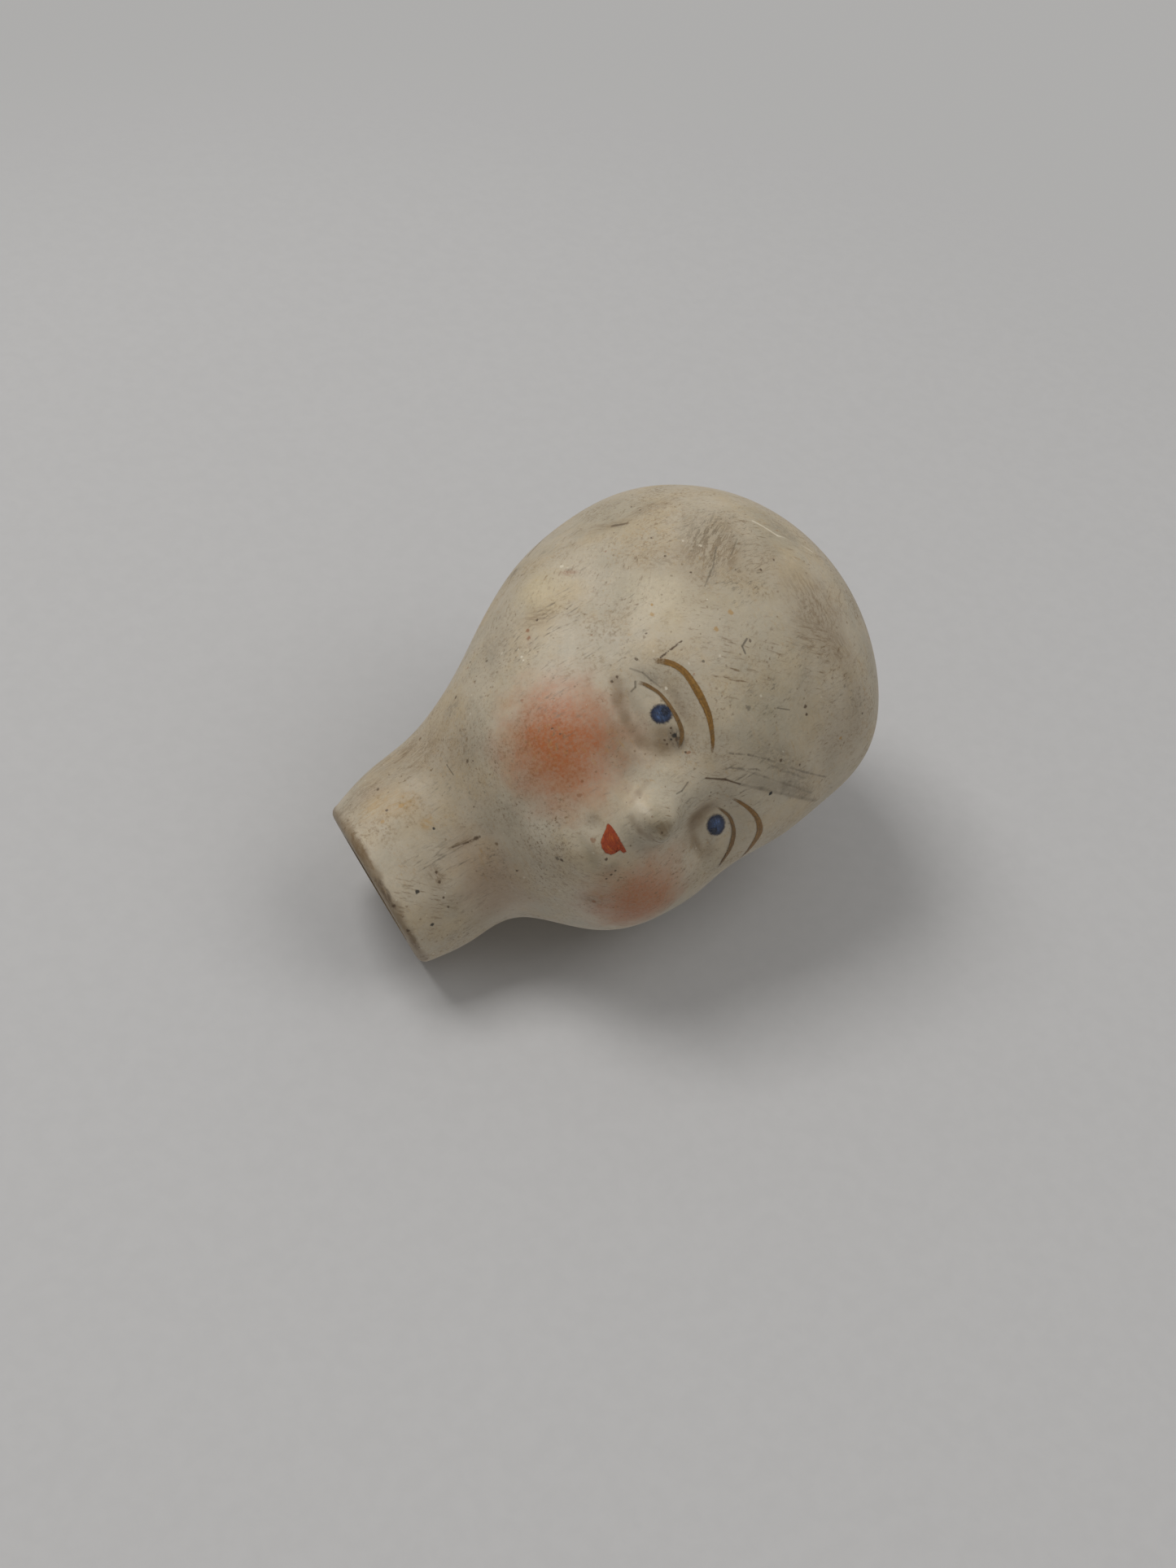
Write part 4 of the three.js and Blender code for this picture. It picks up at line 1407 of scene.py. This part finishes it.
@dataclass
class PaintedFace:
    """Every stroke and spot of fired enamel on the face."""

    form: HeadForm
    ochre: EnamelFinish = EnamelFinish(
        "ochre_enamel_stroke", "ochre_enamel",
        (0.2, 0.098, 0.014, 1), (0.1, 0.045, 0.008, 1), (0.3, 0.165, 0.035, 1))
    lash: EnamelFinish = EnamelFinish(
        "brown_enamel_stroke", "ochre_enamel",
        (0.16, 0.085, 0.022, 1), (0.07, 0.038, 0.012, 1), (0.25, 0.14, 0.045, 1), lift=0.06 * MM)
    blue: EnamelFinish = EnamelFinish(
        "blue_enamel_spot", "blue_enamel",
        (0.038, 0.069, 0.145, 1), (0.014, 0.02, 0.045, 1), (0.09, 0.15, 0.31, 1),
        streak=0.7, softness=0.16, round_edge=True, rim=1.0)
    dark: EnamelFinish = EnamelFinish(
        "dark_enamel_spot", "dark_enamel",
        (0.016, 0.02, 0.036, 1), (0.01, 0.011, 0.016, 1), (0.05, 0.06, 0.09, 1),
        softness=0.34, thinnest=0.5, round_edge=True, lift=0.05 * MM)
    red: EnamelFinish = EnamelFinish(
        "red_enamel_lips", "red_enamel",
        (0.285, 0.04, 0.004, 1), (0.2, 0.022, 0.003, 1), (0.43, 0.11, 0.01, 1),
        roughness=0.5, softness=0.07, thinnest=0.8)
    right_brow: tuple = (
        (-10.09, 28.67, 0.45), (-9.48, 29.64, 0.52), (-8.57, 30.27, 0.58), (-7.62, 30.45, 0.64),
        (-6.62, 30.47, 0.68), (-5.59, 30.41, 0.62), (-4.68, 30.3, 0.55), (-3.73, 30.03, 0.45),
        (-2.74, 29.66, 0.36), (-2.06, 29.32, 0.26), (-1.53, 28.97, 0.14))
    left_brow: tuple = (
        (3.15, 29.01, 0.24), (4.05, 29.52, 0.32), (5.1, 30.01, 0.4), (6.24, 30.37, 0.48),
        (7.52, 30.49, 0.58), (8.69, 30.29, 0.7), (9.75, 29.68, 0.56), (10.69, 29.05, 0.38),
        (11.76, 28.29, 0.16))
    right_lash: tuple = (
        (-9.14, 26.69, 0.3), (-8.93, 27, 0.32), (-8.42, 27.42, 0.32), (-7.76, 27.78, 0.32),
        (-7.06, 27.94, 0.34), (-6.2, 28.04, 0.36), (-5.3, 28.03, 0.4), (-4.53, 27.92, 0.4),
        (-3.87, 27.64, 0.34), (-3.44, 27.27, 0.24), (-3.09, 26.92, 0.1))
    left_lash: tuple = (
        (3.6, 27.7, 0.16), (4.44, 28.04, 0.24), (5.35, 28.36, 0.3), (6.29, 28.44, 0.34),
        (7.49, 28.29, 0.44), (8.48, 27.87, 0.48), (9.25, 27.33, 0.38), (9.95, 26.63, 0.26),
        (10.63, 26, 0.14))
    upper_lip: tuple = (
        (0, -1.27, 18.7), (0.125, -0.95, 18.83), (0.25, -0.55, 18.9), (0.375, -0.1, 18.94),
        (0.5, 0.35, 18.97), (0.625, 0.75, 18.97), (0.75, 1.1, 18.98), (0.875, 1.4, 18.98),
        (1, 1.88, 18.97))
    lower_lip: tuple = (
        (0, -1.26, 18.58), (0.125, -1, 18.34), (0.25, -0.66, 17.8), (0.375, -0.3, 17.33),
        (0.5, 0.2, 17.19), (0.625, 0.75, 17.28), (0.75, 1.2, 17.62), (0.8125, 1.35, 18.06),
        (0.875, 0.95, 18.4), (0.9375, 1.45, 18.56), (1, 1.84, 18.72))
    right_iris: tuple = (-6.23, 27.09, 0.9, 1.0)
    left_iris: tuple = (5.5, 27.1, 1.26, 0.94)
    right_pupil: tuple = (-6.3, 27.4, 0.45, 0.42)
    left_pupil: tuple = (5.85, 26.72, 0.48, 0.38)

    def build(self) -> None:
        """Models and dresses every stroke and spot."""
        patches = (
            ("right_brow", self.ochre, stroke(self.right_brow)),
            ("left_brow", self.ochre, stroke(self.left_brow)),
            ("right_lash_line", self.lash, stroke(self.right_lash)),
            ("left_lash_line", self.lash, stroke(self.left_lash)),
            ("right_iris", self.blue, spot(*self.right_iris)),
            ("left_iris", self.blue, spot(*self.left_iris)),
            ("right_pupil", self.dark, spot(*self.right_pupil)),
            ("left_pupil", self.dark, spot(*self.left_pupil)),
            ("lips", self.red, mouth(self.upper_lip, self.lower_lip)))
        for node, finish, outline in patches:
            EnamelPatch(self.form, node, finish, outline).build()


@dataclass(frozen=True)
class Lamp:
    """A soft square lamp turned to the middle of the head.

    It hangs in a direction given by the table's own sideways, away and upward. Its power is in watts.
    """

    name: str
    sideways: float
    away: float
    upward: float
    distance: float
    side: float
    power: float


LAMPS = (
    Lamp("KeyLamp", -0.55, 0.1, 1.0, 0.6, 0.25, 2.1),
    Lamp("SecondLamp", 0.6, 0.0, 1.0, 0.6, 0.4, 0.9),
    Lamp("UnderFill", 0.0, 0.1, -0.5, 0.5099, 0.5, 0.8),
)


@dataclass
class Studio:
    """The camera, the table, the lamps and the surroundings."""

    form: HeadForm
    azimuth: float = -25.68
    elevation: float = -6.739
    roll: float = 59.195
    aside: float = 0.002778
    upward: float = 0.003838
    distance: float = 0.193788
    target_height: float = 0.025
    focal_pixels: float = 2700
    image_width: int = 1445
    sensor_width: float = 36
    nearest: float = 0.01
    farthest: float = 10
    table_turn: float = 12
    table_elevation: float = 47
    table_radius: float = 0.16
    table_corners: int = 128
    fade_from: float = 0.55
    fade_to: float = 0.97
    paper_grain: Grain = Grain(1.5, 4.0, 0.6)
    paper_roughness: float = 0.9
    paper_gloss: float = 0.1
    lowest_level: float = 0.0002
    highest_level: float = 0.0499
    rings: int = 300
    columns: int = 360
    table_grey: tuple = (0.418, 0.411, 0.405, 1)
    light_grey: tuple = (0.5, 0.5, 0.5, 1)
    light_strength: float = 0.8
    far_grey: tuple = (0.42, 0.415, 0.408, 1)

    def __post_init__(self) -> None:
        """Finds the camera's and the table's own directions, and the middle of the head."""
        turn, climb, roll = (math.radians(v) for v in (self.azimuth, self.elevation, self.roll))
        back = Vector((
            math.sin(turn) * math.cos(climb), -math.cos(turn) * math.cos(climb), math.sin(climb)))
        level = Vector((math.cos(turn), math.sin(turn), 0))
        upright = back.cross(level)
        right = level * math.cos(roll) + upright * math.sin(roll)
        up = upright * math.cos(roll) - level * math.sin(roll)
        self.camera_axes = right, up, back
        turn, climb = math.radians(self.table_turn), math.radians(self.table_elevation)
        level_up = up * math.cos(turn) + right * math.sin(turn)
        upward = back * math.sin(climb) + level_up * math.cos(climb)
        sideways = level_up.cross(back).normalized()
        self.table_axes = sideways, upward.cross(sideways).normalized(), upward.normalized()
        self.target = Vector((0, 0, self.target_height)) + Vector(self.form.shift)

    def camera(self) -> None:
        """Sets up the camera where the photograph was taken from."""
        right, up, back = self.camera_axes
        data = bpy.data.cameras.new("StudioCamera")
        data.sensor_fit = "HORIZONTAL"
        data.sensor_width = self.sensor_width
        data.lens = self.focal_pixels * self.sensor_width / self.image_width
        data.clip_start, data.clip_end = self.nearest, self.farthest
        camera = bpy.data.objects.new("StudioCamera", data)
        camera.matrix_world = Matrix((right, up, back)).transposed().to_4x4()
        camera.location = self.target - right * self.aside - up * self.upward + back * self.distance
        bpy.context.scene.collection.objects.link(camera)
        bpy.context.scene.camera = camera

    def table(self) -> None:
        """Lays the table under the head, where it rests on skull and neck."""
        upward = self.table_axes[2]
        skin = self.form.scan(
            self.form.skin, self.lowest_level, self.highest_level, self.rings, self.columns)
        lowest = float((skin @ np.array(upward)).min())
        centre = Vector(skin.mean(axis=0))
        foot = centre - upward * (centre.dot(upward) - lowest)
        start_primitive()
        bpy.ops.mesh.primitive_circle_add(
            vertices=self.table_corners, radius=self.table_radius, fill_type="TRIFAN")
        table = bpy.context.object
        turn = np.array(Matrix(self.table_axes))
        move_vertices(table, coordinates_of(table) @ turn + np.array(foot))
        table.name = "Table"
        table.data.materials.append(self.paper(foot))

    def paper(self, foot: Vector) -> bpy.types.Material:
        """Pale matt paper, seen from above only and fading out round its edge.

        Args:
            foot: The table's middle.

        Returns:
            The material.
        """
        material, sheet = new_material("pale_table")
        here = sheet.add("ShaderNodeTexCoord").outputs["Object"]
        away = sheet.length(sheet.vector("SUBTRACT", here, tuple(foot)))
        edge = sheet.step(away, self.table_radius * self.fade_from, self.table_radius * self.fade_to)
        path = sheet.add("ShaderNodeLightPath").outputs
        behind = sheet.add("ShaderNodeNewGeometry").outputs["Backfacing"]
        grain = self.paper_grain.over(sheet, here)
        tone = sheet.shaded(self.table_grey, grain, 0.3, 0.7, 0.985, 1.01)
        paper = sheet.add("ShaderNodeBsdfPrincipled", {
            "Base Color": tone, "Roughness": self.paper_roughness,
            "Specular IOR Level": self.paper_gloss})
        clear = sheet.add("ShaderNodeBsdfTransparent")
        unseen = sheet.math("MAXIMUM", sheet.math("MAXIMUM", edge, behind), path["Is Shadow Ray"])
        shader = sheet.add("ShaderNodeMixShader", {0: unseen, 1: paper.outputs[0], 2: clear.outputs[0]})
        sheet.add("ShaderNodeOutputMaterial", {"Surface": shader.outputs[0]})
        return material

    def lamps(self) -> None:
        """Hangs the lamps: a broad key over the head on the left, a soft one right, a fill below."""
        sideways, away, upward = self.table_axes
        for lamp in LAMPS:
            toward = sideways * lamp.sideways + away * lamp.away + upward * lamp.upward
            data = bpy.data.lights.new(lamp.name, "AREA")
            data.size, data.energy = lamp.side, lamp.power
            hung = bpy.data.objects.new(lamp.name, data)
            hung.location = self.target + toward.normalized() * lamp.distance
            hung.rotation_euler = toward.to_track_quat("Z", "Y").to_euler()
            bpy.context.scene.collection.objects.link(hung)

    def surroundings(self) -> None:
        """Pale even surroundings, which the camera sees as the far table."""
        world = bpy.data.worlds.new("Studio")
        bpy.context.scene.world = world
        world.use_nodes = True
        sheet = NodeSheet(world.node_tree)
        path = sheet.add("ShaderNodeLightPath").outputs
        light = sheet.add("ShaderNodeBackground", {
            "Color": self.light_grey, "Strength": self.light_strength})
        seen = sheet.add("ShaderNodeBackground", {"Color": self.far_grey, "Strength": 1.0})
        mixed = sheet.add("ShaderNodeMixShader", {
            0: path["Is Camera Ray"], 1: light.outputs[0], 2: seen.outputs[0]})
        sheet.add("ShaderNodeOutputWorld", {"Surface": mixed.outputs[0]})

    def build(self) -> None:
        """Sets up the whole studio."""
        bpy.context.scene.view_settings.view_transform = "Standard"
        self.camera()
        self.table()
        self.lamps()
        self.surroundings()


def main() -> None:
    """Builds the head and its studio, in order."""
    logging.basicConfig(level=logging.INFO, format="%(message)s")
    form = HeadForm()
    Studio(form).build()
    Casting(form, BisqueFinish(form, Effects())).build()
    PaintedFace(form).build()


if __name__ == "__main__":
    main()
